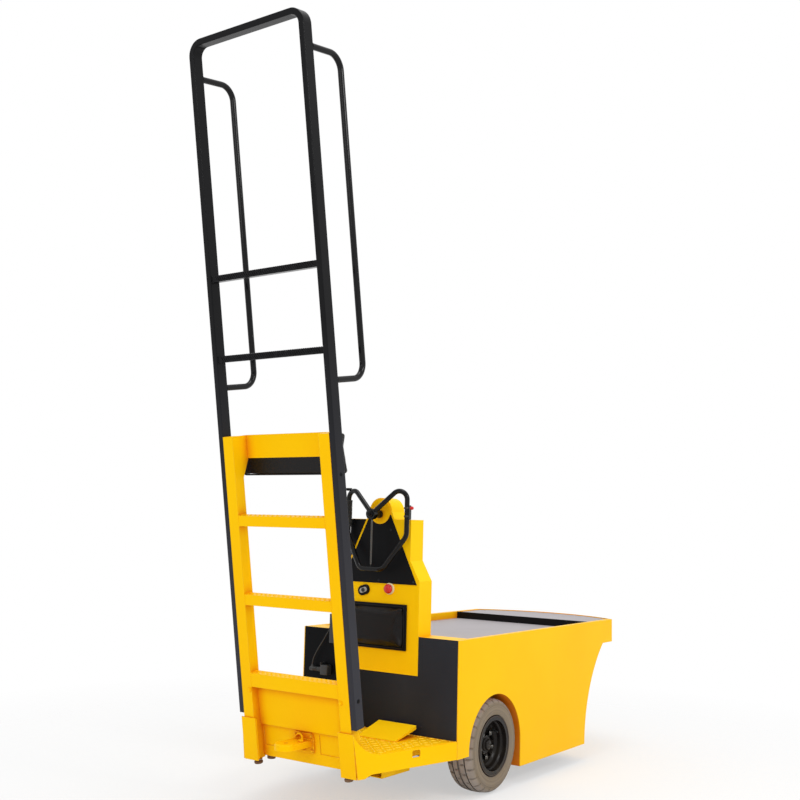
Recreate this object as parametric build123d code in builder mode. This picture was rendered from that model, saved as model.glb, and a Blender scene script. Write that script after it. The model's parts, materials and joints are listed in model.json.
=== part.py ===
"""Stand-up electric stock chaser with an order-picking ladder.

X runs forward from the ladder to the load deck, Y to the left and Z up from the ground.
All sizes are in millimetres.
"""
import os
from math import cos, hypot, radians, sin, tan

from build123d import *

# General
sheet = 4.0                 # body sheet
seat_gap = 0.3              # clearance between seated pieces
move_gap = 8.0              # clearance of moving pieces

# Body
body_width = 838.0
wall_x = -332.0             # rear face of the wall behind the platform
rim_z = 670.0               # top of the deck's rim
skirt_z = 78.0              # bottom of the side panels
tail_z = 190.0              # bottom of the side panels behind the wheel
nose_x = 1189.0             # corner of the bumper at the side
nose_bow = 133.0            # how far the bumper bows out at the middle
bumper_height = 115.0
bumper_sheet = 6.0
fascia_top_x = 1077.0       # where the hollow front meets the bumper
skirt_front_x = 861.0       # front bottom corner of the side panels
body_half = body_width / 2
inner_half = body_half - sheet
lip_z = rim_z - bumper_height

# Load deck
deck_drop = 36.0            # deck surface below the rim
rim_width = 25.0
rear_rim_depth = 108.0
ledge_width = 15.0          # what the deck plate lies on
riser_x = 941.0             # black step between the two decks
riser_sheet = 6.0
deck_z = rim_z - deck_drop
rim_inner_half = body_half - rim_width
deck_rear_x = wall_x + rear_rim_depth

# Wheels
wheel_radius = 200.0
tyre_width = 134.0
tyre_inset = 4.0            # outer sidewall inside the body's side
tread_half = 52.0
sidewall_drop = 28.0        # sloped shoulder below the tread
tyre_section = 73.0         # rubber between the rim and the tread
rim_wall = 20.0
rim_half = 64.0
front_rim_half = 49.0
disc_sheet = 8.0
disc_at = 6.0               # the rear wheel's disc, outwards of its middle
window_count = 5
window_width = 34.0
window_height = 24.0
hub_wall = 16.0
stub_reach = 16.0           # stub shaft past the wheel's middle
arch_clearance = 20.0
arch_side_clearance = 14.0
rear_axle_x = -19.0
arch_radius = wheel_radius + arch_clearance
wheel_y = body_half - tyre_inset - tyre_width / 2
rim_radius = wheel_radius - tyre_section
sidewall_radius = wheel_radius - sidewall_drop
wheel_sweep = hypot(wheel_radius, tyre_width / 2)
arch_inner_y = wheel_y - tyre_width / 2 - arch_side_clearance

# Chassis
rail_width = 40.0
rail_arch_gap = 5.0
rail_height = 60.0
rail_above_axle = 45.0      # underside of the body rails above the axle
cross_width = 30.0
rail_rear_x = -250.0
low_rail_height = 60.0
rail_tube = 4.0             # wall of the platform's rails
head_above_wheel = 50.0     # underside of the steering head's beam above the wheel
head_height = 60.0
head_length = 90.0
stem_radius = 25.0
outrigger_length = 40.0
axle_tube_radius = 35.0
stub_radius = 20.0
battery_rear_x = -190.0
battery_gap = 25.0          # between the battery and the steered wheel
battery_top_z = 600.0
rail_outer_y = arch_inner_y - rail_arch_gap
rail_inner_y = rail_outer_y - rail_width
rail_front_x = skirt_front_x - sheet - seat_gap
front_axle_x = rail_front_x - cross_width - wheel_sweep - move_gap
rail_z = wheel_radius + rail_above_axle
head_z = 2 * wheel_radius + head_above_wheel
battery_front_x = front_axle_x - wheel_sweep - battery_gap
window_radius = (stub_radius + hub_wall + rim_radius - rim_wall) / 2

# Platform
floor_z = 263.0
plate_z = 192.0             # bottom of the platform's side plates
plate_sheet = 5.0
gusset_length = 135.0
slot_width = 42.0
slot_height = 28.0
slot_from_wall = 225.0
slot_top_below_floor = 6.0
beam_width = 92.0
beam_outer_y = -222.0
beam_z = 130.0
beam_rear_x = -582.0
beam_front_x = -387.0
beam_sheet = 4.0
foot_radius = 18.0
foot_height = 18.0
rail_foot_height = 32.0
rail_foot_inset = 62.0

# Ladder and tower: s is measured up the slope, forward is square to the ladder
lean = 9.62                 # degrees from upright
ladder_x = -803.0           # rear plane of the ladder at the ground
ladder_width = 605.0
tube_width = 25.4
tube_depth = 50.8
tube_round = 4.0
tube_wall = 2.5
post_bottom_s = 371.0
ladder_top_s = 3107.0
loop_radius = 52.0          # bend of the top corners, at the tube's middle
tower_bottom_s = 182.0
step_top_s = 539.0
tower_pitch = 321.0
ladder_pitch = 327.0
rung_height = 42.0
rung_depth = 46.0
step_height = 55.0
black_rung_height = 25.4
black_rung_depth = 38.0
stile_flange = 52.0
stile_depth = 50.0
stile_sheet = 4.0
gusset_depth = 86.0
gusset_straight = 95.0
gusset_slope = 75.0
rail_tube_radius = 12.5
rail_tube_wall = 2.0
rail_reach = 226.0          # handrail's middle, forward of the ladder's rear plane
rail_top_s = 2962.0
rail_bottom_s = 1701.0
rail_bend = 62.0
pad_height = 172.0
pad_thickness = 44.0
pad_half = 272.0
pad_round = 14.0
panel_bottom_s = 189.0
panel_fold_s = 322.0
panel_upper_depth = 36.0
panel_lower_depth = 46.0
pressing_depth = 2.0
pressing_inner_y = 77.0
pressing_end = 8.0
pressing_bottom_s = 234.0
pressing_height = 79.0
base_outer_half = 288.0
base_rail_inset = 23.0      # the platform's rails inside the base
base_inner_half = 214.0
base_top_s = 356.0
tower_top_s = step_top_s + 3 * tower_pitch
ladder_half = ladder_width / 2
post_inner_half = ladder_half - tube_width
stile_inner_half = post_inner_half - stile_flange
low_rail_y = base_outer_half - base_rail_inset - rail_width / 2

# Console
console_half = 215.0
console_depth = 96.0
console_proud = 2.0         # rear face behind the wall's
console_bottom_z = 507.0
console_waist_z = 903.0
console_shoulder_z = 990.0
console_upper_half = 165.0
console_top_z = 1166.0
console_corner = 12.0
hump_half = 76.0            # half width of the column's hump where it leaves the top
hump_radius = 60.0
hump_z = 1200.0             # middle of the round hump
column_z = 1188.0
console_sheet = 3.0
dash_bottom_z = 887.0
dash_bottom_half = 202.0
dash_top_z = 1186.0
dash_top_half = 56.0
dash_sheet = 2.5
shoulder_margin = 12.0      # between the dash and the black shoulder
shoulder_edge = 2.0
boss_radius = 55.0
boss_length = 5.0
column_radius = 16.0
knee_half = 154.0
knee_bottom_z = 606.0
knee_height = 195.0
knee_thickness = 34.0
knee_round = 10.0
key_y = 80.0
key_drop = 34.0             # below the dash
key_length = 56.0
key_height = 36.0
key_turn = 18.0
stop_y = -60.0
stop_drop = 22.0            # below the dash
stop_radius = 21.0
console_x = wall_x - console_proud
key_z = dash_bottom_z - key_drop
stop_z = dash_bottom_z - stop_drop

# Handlebar
bar_radius = 11.0
bar_hub_x = -399.0
bar_grip_x = -360.0
bar_bottom_x = -396.0
bar_half = 160.0
bar_top_z = 1334.0
bar_grip_bottom_z = 1096.0
bar_bottom_z = 950.0
bar_bottom_half = 62.0
bar_bends = (37.0, 55.0, 42.0)
hub_radius = 24.0
spoke_radius = 4.0
grip_radius = 17.0
grip_bottom_z = 1130.0
grip_top_z = 1248.0
switch_bottom_z = 1166.0
switch_height = 62.0
switch_width = 16.0
switch_reach = 8.0          # the switch past the bar's side

# Hitch, pedal and cord
hitch_half = 44.0
hitch_reach = 160.0         # rounded end behind the panel
hitch_tongue = 25.0
hitch_chamfer = 4.0
hitch_bore_radius = 8.5
hitch_s = 274.0
hitch_plate_half = 50.0
hitch_plate_height = 80.0
hitch_plate_sheet = 6.0
hitch_rib = 8.0
pedal_heel_x = -510.0
pedal_toe_x = -357.0
pedal_heel_z = 266.0
pedal_toe_z = 309.0
pedal_right_y = -230.0
pedal_left_y = -36.0
pedal_lip = 16.0
box_inner_y = 216.0
box_outer_y = 245.0
box_bottom_z = 612.0
box_top_z = 738.0
box_depth = 34.0
cord_radius = 3.0
cord_z = 692.0              # where the cord's gland leaves the box
cord_drop = 61.0            # degrees below level
gland_length = 16.0
gland_radius = 7.0
plug_radius = 11.0
plug_collar = 6.0
plug_drop = 16.0
plug_length = 66.0
socket_size = 44.0

os.makedirs("parts", exist_ok=True)


def keep(piece, name):
    """Label a finished piece and write it."""
    piece.part.label = name
    export_step(piece.part, f"parts/{name}.step")


# The ladder's own planes
forward = (cos(radians(lean)), 0.0, sin(radians(lean)))
upslope = (-sin(radians(lean)), 0.0, cos(radians(lean)))


def ladder_plane(depth=0.0):
    """Plane of the ladder: local x is Y, local y is up the slope, normal is forward."""
    origin = (ladder_x + depth * forward[0], 0.0, depth * forward[2])
    return Plane(origin=origin, x_dir=(0, 1, 0), z_dir=forward)


def ladder_side(y):
    """Upright plane across the ladder: local x is forward, local y up the slope, normal is -Y."""
    return Plane(origin=(ladder_x, y, 0.0), x_dir=forward, z_dir=(0, -1, 0))


def ladder_at(depth, z):
    """Where a plane of the ladder, at a depth forward of its rear plane, stands at a height."""
    return ladder_x + depth / cos(radians(lean)) - z * tan(radians(lean))


def ladder_point(depth, y, s):
    """Point at a depth forward of the rear plane and a distance up the slope."""
    x = ladder_x + depth * forward[0] + s * upslope[0]
    z = depth * forward[2] + s * upslope[2]
    return (x, y, z)


# Side panels with the wheel arch, hollowed at the front
with BuildPart() as side_panels:
    with BuildSketch(Plane.XZ.offset(inner_half)):
        with BuildLine():
            Polyline(
                (skirt_front_x, skirt_z),
                (wall_x, skirt_z),
                (wall_x, rim_z),
                (nose_x, rim_z),
                (nose_x, lip_z),
                (fascia_top_x, lip_z),
            )
            TangentArc((skirt_front_x, skirt_z), (fascia_top_x, lip_z), tangent=(0, 1))
        make_face()
        with Locations((rear_axle_x, wheel_radius)):
            Circle(arch_radius, mode=Mode.SUBTRACT)
            Rectangle(2 * arch_radius, wheel_radius, align=(Align.CENTER, Align.MAX), mode=Mode.SUBTRACT)
        with Locations((wall_x, 0)):
            Rectangle(rear_axle_x - wall_x, tail_z, align=(Align.MIN, Align.MIN), mode=Mode.SUBTRACT)
    extrude(amount=sheet)
    mirror(about=Plane.XZ)
keep(side_panels, "side_panels")

# Arched sheets over the rear wheels
with BuildPart() as wheel_arches:
    with BuildSketch(Plane.XZ.offset(arch_inner_y)):
        with Locations((rear_axle_x, wheel_radius)):
            Circle(arch_radius + sheet)
            Rectangle(2 * (arch_radius + sheet), wheel_radius - skirt_z, align=(Align.CENTER, Align.MAX))
            Circle(arch_radius, mode=Mode.SUBTRACT)
            Rectangle(2 * arch_radius, 2 * wheel_radius, align=(Align.CENTER, Align.MAX), mode=Mode.SUBTRACT)
        with Locations((wall_x, 0)):
            Rectangle(rear_axle_x - wall_x, tail_z, align=(Align.MIN, Align.MIN), mode=Mode.SUBTRACT)
    extrude(amount=inner_half - arch_inner_y)
    mirror(about=Plane.XZ)
keep(wheel_arches, "wheel_arches")

# Hollow sheet across the front, under the bumper
with BuildPart() as front_fascia:
    with BuildSketch(Plane.XZ.offset(-inner_half)):
        with BuildLine():
            outer = TangentArc((skirt_front_x, skirt_z), (fascia_top_x, lip_z), tangent=(0, 1))
            inner = TangentArc(
                (skirt_front_x - sheet, skirt_z), (fascia_top_x - sheet, lip_z), tangent=(0, 1)
            )
            Line(outer @ 0, inner @ 0)
            Line(outer @ 1, inner @ 1)
        make_face()
    extrude(amount=2 * inner_half)
keep(front_fascia, "front_fascia")

# Bowed bumper band with its closing plate below
with BuildPart() as front_bumper:
    with BuildSketch(Plane.XY.offset(lip_z)):
        with BuildLine():
            outer = ThreePointArc((nose_x, -body_half), (nose_x + nose_bow, 0), (nose_x, body_half))
            inner = ThreePointArc(
                (nose_x, -inner_half), (nose_x + nose_bow - bumper_sheet, 0), (nose_x, inner_half)
            )
            Line(outer @ 0, inner @ 0)
            Line(outer @ 1, inner @ 1)
        make_face()
    extrude(amount=bumper_height)
    with BuildSketch(Plane.XY.offset(lip_z)):
        with BuildLine():
            ThreePointArc(
                (nose_x, -inner_half), (nose_x + nose_bow - bumper_sheet, 0), (nose_x, inner_half)
            )
            Polyline(
                (nose_x, inner_half),
                (fascia_top_x - sheet, inner_half),
                (fascia_top_x - sheet, -inner_half),
                (nose_x, -inner_half),
            )
        make_face()
    extrude(amount=sheet)
keep(front_bumper, "front_bumper")

# Wall behind the operator's platform, notched for the console
with BuildPart() as rear_wall:
    with BuildSketch(Plane.YZ.offset(wall_x)):
        with Locations((0, floor_z)):
            Rectangle(2 * inner_half, rim_z - floor_z, align=(Align.CENTER, Align.MIN))
        with Locations((0, console_bottom_z - seat_gap)):
            Rectangle(
                2 * (console_half + seat_gap),
                rim_z - console_bottom_z + seat_gap,
                align=(Align.CENTER, Align.MIN),
                mode=Mode.SUBTRACT,
            )
    extrude(amount=sheet)
keep(rear_wall, "rear_wall")

# Folded rim round the deck: top, inner flange and the ledge that carries the deck
console_front_x = console_x + console_depth
with BuildPart() as deck_rim:
    with BuildSketch(Plane.XY.offset(rim_z - sheet)):
        with Locations((wall_x + sheet, 0)):
            Rectangle(nose_x - wall_x - sheet, 2 * inner_half, align=(Align.MIN, Align.CENTER))
        with Locations((deck_rear_x, 0)):
            Rectangle(2 * nose_x, 2 * rim_inner_half, align=(Align.MIN, Align.CENTER), mode=Mode.SUBTRACT)
        with Locations((wall_x, 0)):
            Rectangle(
                console_front_x + seat_gap - wall_x,
                2 * (console_half + seat_gap),
                align=(Align.MIN, Align.CENTER),
                mode=Mode.SUBTRACT,
            )
    extrude(amount=sheet)
    with BuildSketch(Plane.XY.offset(deck_z - 2 * sheet)):
        with Locations((deck_rear_x - sheet, 0)):
            Rectangle(
                nose_x - deck_rear_x + sheet, 2 * (rim_inner_half + sheet), align=(Align.MIN, Align.CENTER)
            )
        with Locations((deck_rear_x, 0)):
            Rectangle(2 * nose_x, 2 * rim_inner_half, align=(Align.MIN, Align.CENTER), mode=Mode.SUBTRACT)
    extrude(amount=deck_drop + 2 * sheet)
    with BuildSketch(Plane.XY.offset(deck_z - 2 * sheet)):
        with Locations((deck_rear_x, 0)):
            Rectangle(riser_x + riser_sheet - deck_rear_x, 2 * rim_inner_half, align=(Align.MIN, Align.CENTER))
        with Locations((deck_rear_x + ledge_width, 0)):
            Rectangle(
                2 * nose_x,
                2 * (rim_inner_half - ledge_width),
                align=(Align.MIN, Align.CENTER),
                mode=Mode.SUBTRACT,
            )
    extrude(amount=sheet)
keep(deck_rim, "deck_rim")

# Load deck, the black step and the higher front deck
with BuildPart() as load_deck:
    with BuildSketch(Plane.XY.offset(deck_z - sheet)):
        with Locations((deck_rear_x, 0)):
            Rectangle(riser_x - seat_gap - deck_rear_x, 2 * rim_inner_half, align=(Align.MIN, Align.CENTER))
    extrude(amount=sheet)
keep(load_deck, "load_deck")

with BuildPart() as deck_riser:
    with BuildSketch(Plane.XY.offset(deck_z - sheet)):
        with Locations((riser_x, 0)):
            Rectangle(riser_sheet, 2 * rim_inner_half, align=(Align.MIN, Align.CENTER))
    extrude(amount=deck_drop + sheet)
keep(deck_riser, "deck_riser")

front_deck_x = riser_x + riser_sheet
with BuildPart() as front_deck:
    with BuildSketch(Plane.XY.offset(rim_z - 2 * sheet)):
        with BuildLine():
            ThreePointArc(
                (nose_x - seat_gap, -rim_inner_half),
                (nose_x + nose_bow - bumper_sheet - seat_gap, 0),
                (nose_x - seat_gap, rim_inner_half),
            )
            Polyline(
                (nose_x - seat_gap, rim_inner_half),
                (front_deck_x, rim_inner_half),
                (front_deck_x, -rim_inner_half),
                (nose_x - seat_gap, -rim_inner_half),
            )
        make_face()
    extrude(amount=sheet)
keep(front_deck, "front_deck")

# Welded chassis: rails, cross members, outriggers and the steering head
with BuildPart() as chassis_frame:
    for side in (-1, 1):
        rail_middle = side * (rail_inner_y + rail_width / 2)
        with Locations((rail_rear_x, rail_middle, rail_z)):
            Box(
                rail_front_x - rail_rear_x,
                rail_width,
                rail_height,
                align=(Align.MIN, Align.CENTER, Align.MIN),
            )
        with Locations((front_axle_x, rail_middle, rail_z)):
            Box(
                head_length,
                rail_width,
                head_z + head_height - rail_z,
                align=(Align.CENTER, Align.CENTER, Align.MIN),
            )
        outrigger_reach = inner_half - rail_outer_y
        for outrigger_x in (arch_radius + rear_axle_x + outrigger_length, rail_front_x - outrigger_length):
            with Locations((outrigger_x, side * (rail_outer_y + outrigger_reach / 2), rail_z)):
                Box(
                    outrigger_length,
                    outrigger_reach,
                    rail_height,
                    align=(Align.CENTER, Align.CENTER, Align.MIN),
                )
    for cross_x in (rail_rear_x + cross_width / 2, rail_front_x - cross_width / 2):
        with Locations((cross_x, 0, rail_z)):
            Box(cross_width, 2 * rail_outer_y, rail_height, align=(Align.CENTER, Align.CENTER, Align.MIN))
    with Locations((front_axle_x, 0, head_z)):
        Box(head_length, 2 * rail_outer_y, head_height, align=(Align.CENTER, Align.CENTER, Align.MIN))
        Cylinder(
            stem_radius + seat_gap,
            head_height,
            align=(Align.CENTER, Align.CENTER, Align.MIN),
            mode=Mode.SUBTRACT,
        )
keep(chassis_frame, "chassis_frame")

# Battery pack as one plain block on the rails
with BuildPart() as battery_pack:
    with Locations(((battery_rear_x + battery_front_x) / 2, 0, rail_z + rail_height)):
        Box(
            battery_front_x - battery_rear_x,
            2 * (rail_outer_y - rail_width / 4),
            battery_top_z - rail_z - rail_height,
            align=(Align.CENTER, Align.CENTER, Align.MIN),
        )
keep(battery_pack, "battery_pack")

# Drive axle with its gear case, motor, drums and stub shafts
drum_radius = 80.0
drum_inner_y = rail_outer_y + sheet
drum_outer_y = wheel_y - rim_half - move_gap
stub_end_y = wheel_y + stub_reach
motor_radius = 85.0
motor_length = 230.0
case_radius = 95.0
case_width = 150.0
case_y = 40.0
with BuildPart() as drive_axle:
    with BuildSketch(Plane.XZ.offset(-stub_end_y)):
        with Locations((rear_axle_x, wheel_radius)):
            Circle(stub_radius)
    extrude(amount=2 * stub_end_y)
    with BuildSketch(Plane.XZ.offset(-drum_outer_y)):
        with Locations((rear_axle_x, wheel_radius)):
            Circle(axle_tube_radius)
    extrude(amount=2 * drum_outer_y)
    for side in (-1, 1):
        drum_start = drum_inner_y if side < 0 else -drum_outer_y
        with BuildSketch(Plane.XZ.offset(drum_start)):
            with Locations((rear_axle_x, wheel_radius)):
                Circle(drum_radius)
        extrude(amount=drum_outer_y - drum_inner_y)
        with Locations((rear_axle_x, side * (rail_inner_y + rail_width / 2), wheel_radius)):
            Box(
                2 * axle_tube_radius,
                rail_width,
                rail_z - wheel_radius,
                align=(Align.CENTER, Align.CENTER, Align.MIN),
            )
    with BuildSketch(Plane.XZ.offset(-case_y - case_width / 2)):
        with Locations((rear_axle_x, wheel_radius)):
            Circle(case_radius)
    extrude(amount=case_width)
    with BuildSketch(Plane.YZ.offset(rear_axle_x)):
        with Locations((case_y, wheel_radius)):
            Circle(motor_radius)
    extrude(amount=case_radius + motor_length)
keep(drive_axle, "drive_axle")


def wheel_rim_profile(half, hub_in, hub_out, bore, bore_end, disc):
    """Half section of a pressed wheel: x is the radius, y is outwards along the axle."""
    hub_outer = bore + hub_wall
    with BuildSketch(Plane.XY) as profile:
        with Locations((rim_radius - rim_wall, 0)):
            Rectangle(rim_wall, 2 * half, align=(Align.MIN, Align.CENTER))
        with Locations((bore, disc)):
            Rectangle(rim_radius - rim_wall / 2 - bore, disc_sheet, align=(Align.MIN, Align.CENTER))
        with Locations((bore, hub_in)):
            Rectangle(hub_wall, hub_out - hub_in, align=(Align.MIN, Align.MIN))
        if bore_end < hub_out:
            with Locations((0, bore_end)):
                Rectangle(hub_outer, hub_out - bore_end, align=(Align.MIN, Align.MIN))
    return profile.sketch


def tyre_profile(shoulder):
    """Half section of a solid tyre: x is the radius, y is along the axle."""
    half = tyre_width / 2 if shoulder else tread_half
    seat = rim_radius + seat_gap
    outer = [(wheel_radius, -tread_half), (wheel_radius, tread_half)]
    if shoulder:
        outer = [(sidewall_radius, -half), *outer, (sidewall_radius, half)]
    with BuildSketch(Plane.XY) as profile:
        with BuildLine():
            Polyline((seat, -half), *outer, (seat, half), close=True)
        make_face()
    return profile.sketch


def wheel_plane(x, y, outward):
    """Plane whose local x is +X and local y points outwards along the axle."""
    return Plane(origin=(x, y, wheel_radius), x_dir=(1, 0, 0), z_dir=(0, 0, outward))


# Rear wheels on the stub shafts, dished side outwards
rear_rim = wheel_rim_profile(
    half=rim_half,
    hub_in=-rim_half + move_gap,
    hub_out=22.0,
    bore=stub_radius + seat_gap,
    bore_end=stub_reach + 2.0,
    disc=disc_at,
)
for side, word in ((1, "left"), (-1, "right")):
    spot = wheel_plane(rear_axle_x, side * wheel_y, side)
    with BuildPart() as rear_wheel:
        add(spot * rear_rim)
        revolve(axis=Axis(spot.origin, (0, 1, 0)))
        with BuildSketch(Plane(origin=spot.origin, x_dir=(1, 0, 0), z_dir=(0, side, 0))):
            with PolarLocations(window_radius, window_count, start_angle=90):
                Rectangle(window_height, window_width)
        extrude(amount=disc_at + disc_sheet, mode=Mode.SUBTRACT)
    keep(rear_wheel, f"rear_wheel_{word}")
    with BuildPart() as rear_tyre:
        add(spot * tyre_profile(shoulder=True))
        revolve(axis=Axis(spot.origin, (0, 1, 0)))
    keep(rear_tyre, f"rear_tyre_{word}")

# Steered front wheel in its fork
fork_axle_radius = 12.0
fork_leg = 12.0
fork_leg_width = 60.0
fork_inner_half = tyre_width / 2 + move_gap
fork_crown_z = 2 * wheel_radius + 2 * move_gap
front_spot = wheel_plane(front_axle_x, 0, 1)
front_rim = wheel_rim_profile(
    half=front_rim_half,
    hub_in=-fork_inner_half + move_gap,
    hub_out=fork_inner_half - move_gap,
    bore=fork_axle_radius + seat_gap,
    bore_end=fork_inner_half,
    disc=0.0,
)
with BuildPart() as front_wheel:
    add(front_spot * front_rim)
    revolve(axis=Axis(front_spot.origin, (0, 1, 0)))
keep(front_wheel, "front_wheel")
with BuildPart() as front_tyre:
    add(front_spot * tyre_profile(shoulder=False))
    revolve(axis=Axis(front_spot.origin, (0, 1, 0)))
keep(front_tyre, "front_tyre")

with BuildPart() as front_fork:
    with BuildSketch(Plane.XZ.offset(fork_inner_half)):
        with Locations((front_axle_x, wheel_radius)):
            Circle(fork_leg_width / 2)
            Rectangle(fork_leg_width, fork_crown_z - wheel_radius, align=(Align.CENTER, Align.MIN))
    extrude(amount=fork_leg)
    mirror(about=Plane.XZ)
    with Locations((front_axle_x, 0, fork_crown_z)):
        Box(
            fork_leg_width + 20.0,
            2 * (fork_inner_half + fork_leg),
            head_z - fork_crown_z - move_gap,
            align=(Align.CENTER, Align.CENTER, Align.MIN),
        )
        Cylinder(
            stem_radius, head_z + head_height - fork_crown_z, align=(Align.CENTER, Align.CENTER, Align.MIN)
        )
    with BuildSketch(Plane.XZ.offset(-fork_inner_half - fork_leg)):
        with Locations((front_axle_x, wheel_radius)):
            Circle(fork_axle_radius)
    extrude(amount=2 * (fork_inner_half + fork_leg))
keep(front_fork, "front_fork")

# Operator's platform: tread plate and the side plates that taper to the tower
plate_rear_x = ladder_point(0, 0, base_top_s)[0]
plate_run = wall_x - plate_rear_x
plate_taper = body_half - base_outer_half
plate_length = hypot(plate_run, plate_taper)
plate_back = (-plate_run / plate_length, plate_taper / plate_length, 0.0)
plate_in = (plate_taper / plate_length, plate_run / plate_length, 0.0)
floor_rear_x = ladder_at(stile_depth, floor_z - sheet) + seat_gap


def platform_half(x):
    """Half width of the platform inside its side plates."""
    thick = plate_sheet * plate_length / plate_run
    return base_outer_half + (x - plate_rear_x) * plate_taper / plate_run - thick


floor_front_x = wall_x + 32.0
with BuildPart() as platform_floor:
    with BuildSketch(Plane.XY.offset(floor_z - sheet)):
        with BuildLine():
            Polyline(
                (floor_rear_x, -platform_half(floor_rear_x)),
                (wall_x, -platform_half(wall_x)),
                (floor_front_x, -platform_half(wall_x)),
                (floor_front_x, platform_half(wall_x)),
                (wall_x, platform_half(wall_x)),
                (floor_rear_x, platform_half(floor_rear_x)),
                close=True,
            )
        make_face()
    extrude(amount=sheet)
keep(platform_floor, "platform_floor")

# The side plate's own plane starts at the wall's right corner and runs back
side_plate_plane = Plane(origin=(wall_x, -body_half, 0), x_dir=plate_back, z_dir=plate_in)
rear_rise = tan(radians(lean)) * plate_length / plate_run
plate_start = plate_sheet * plate_taper / plate_run + seat_gap


def plate_end(z):
    """How far back the side plate reaches at a height, along itself."""
    return plate_length + plate_sheet / 2 - (ladder_point(0, 0, base_top_s)[2] - z) * rear_rise


base_top_z = ladder_point(0, 0, base_top_s)[2]
base_bottom_z = ladder_point(0, 0, tower_bottom_s)[2]
with BuildPart() as platform_sides:
    with BuildSketch(side_plate_plane):
        with BuildLine():
            Polyline(
                (plate_end(floor_z) - gusset_length, floor_z),
                (plate_start, floor_z),
                (plate_start, plate_z),
                (plate_end(plate_z) - gusset_length / 2, plate_z),
                (plate_end(base_bottom_z) - gusset_length / 4, base_bottom_z),
                (plate_end(base_bottom_z), base_bottom_z),
                (plate_end(base_top_z), base_top_z),
            )
            TangentArc(
                (plate_end(floor_z) - gusset_length, floor_z), (plate_end(base_top_z), base_top_z), tangent=(1, 0)
            )
        make_face()
        with Locations((slot_from_wall, floor_z - slot_top_below_floor - slot_height / 2)):
            RectangleRounded(slot_width, slot_height, slot_height / 4, mode=Mode.SUBTRACT)
    extrude(amount=plate_sheet)
    with BuildSketch(ladder_plane(-plate_sheet)):
        with Locations((-base_outer_half, tower_bottom_s)):
            Rectangle(
                base_outer_half - base_inner_half, base_top_s - tower_bottom_s, align=(Align.MIN, Align.MIN)
            )
    extrude(amount=plate_sheet)
    mirror(about=Plane.XZ)
keep(platform_sides, "platform_sides")

# Rails that carry the platform from the body's frame to the tower
low_rail_rear_x = ladder_at(stile_depth, floor_z - sheet - low_rail_height) + seat_gap
with BuildPart() as platform_rails:
    for side in (-1, 1):
        with Locations((low_rail_rear_x, side * low_rail_y, floor_z - sheet)):
            Box(
                rail_rear_x - seat_gap - low_rail_rear_x,
                rail_width,
                low_rail_height,
                align=(Align.MIN, Align.CENTER, Align.MAX),
            )
        with Locations((low_rail_rear_x, side * low_rail_y, floor_z - sheet - rail_tube)):
            Box(
                rail_rear_x - low_rail_rear_x,
                rail_width - 2 * rail_tube,
                low_rail_height - 2 * rail_tube,
                align=(Align.MIN, Align.CENTER, Align.MAX),
                mode=Mode.SUBTRACT,
            )
keep(platform_rails, "platform_rails")

# Open housing under the floor for the pedal's linkage
beam_top_z = floor_z - sheet
with BuildPart() as pedal_housing:
    with Locations((beam_rear_x, beam_outer_y, beam_z)):
        Box(
            beam_front_x - beam_rear_x,
            beam_width,
            beam_top_z - beam_z,
            align=(Align.MIN, Align.MIN, Align.MIN),
        )
    with Locations((beam_rear_x, beam_outer_y + beam_sheet, beam_z + beam_sheet)):
        Box(
            beam_front_x - beam_rear_x - beam_sheet,
            beam_width - 2 * beam_sheet,
            beam_top_z - beam_z,
            align=(Align.MIN, Align.MIN, Align.MIN),
            mode=Mode.SUBTRACT,
        )
keep(pedal_housing, "pedal_housing")

# Foot pedal: a tilted plate with turned-down edges
with BuildPart() as foot_pedal:
    with BuildSketch(Plane.XZ.offset(-pedal_left_y)):
        with BuildLine():
            Polyline(
                (pedal_heel_x, floor_z),
                (pedal_heel_x, pedal_heel_z),
                (pedal_toe_x, pedal_toe_z),
                (pedal_toe_x, pedal_toe_z - pedal_lip),
                (pedal_heel_x + pedal_lip, floor_z),
                close=True,
            )
        make_face()
    extrude(amount=pedal_left_y - pedal_right_y)
keep(foot_pedal, "foot_pedal")

# Rubber feet under the rear corners of the platform: on the stiles and on the rails
with BuildPart() as base_feet:
    stile_foot = Plane(
        origin=ladder_point(foot_radius, stile_inner_half + foot_radius / 2, tower_bottom_s),
        x_dir=(0, 1, 0),
        z_dir=upslope,
    )
    with BuildSketch(stile_foot):
        Circle(foot_radius)
    extrude(amount=-foot_height)
    with BuildSketch(Plane.XY.offset(floor_z - sheet - low_rail_height)):
        with Locations((low_rail_rear_x + rail_foot_inset, low_rail_y)):
            Circle(foot_radius)
    extrude(amount=-rail_foot_height)
    mirror(about=Plane.XZ)
keep(base_feet, "base_feet")

# Tower stiles: channels with an inner web that deepens to a gusset at the top
with BuildPart() as tower_stiles:
    with BuildSketch(ladder_plane()):
        with Locations((stile_inner_half, tower_bottom_s)):
            Rectangle(stile_flange, tower_top_s - tower_bottom_s, align=(Align.MIN, Align.MIN))
    extrude(amount=stile_sheet)
    with BuildSketch(ladder_side(stile_inner_half + stile_sheet)):
        with BuildLine():
            Polyline(
                (0, tower_bottom_s),
                (stile_depth, tower_bottom_s),
                (stile_depth, tower_top_s - gusset_straight - gusset_slope),
                (gusset_depth, tower_top_s - gusset_straight),
                (gusset_depth, tower_top_s),
                (0, tower_top_s),
                close=True,
            )
        make_face()
    extrude(amount=stile_sheet)
    with BuildSketch(ladder_side(post_inner_half)):
        with Locations((0, tower_bottom_s)):
            Rectangle(stile_depth, tower_top_s - tower_bottom_s, align=(Align.MIN, Align.MIN))
    extrude(amount=stile_sheet)
    with BuildSketch(ladder_plane()):
        with Locations((stile_inner_half, tower_bottom_s), (stile_inner_half, tower_top_s - stile_sheet)):
            Rectangle(stile_flange, stile_sheet, align=(Align.MIN, Align.MIN))
    extrude(amount=stile_depth)
    mirror(about=Plane.XZ)
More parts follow.
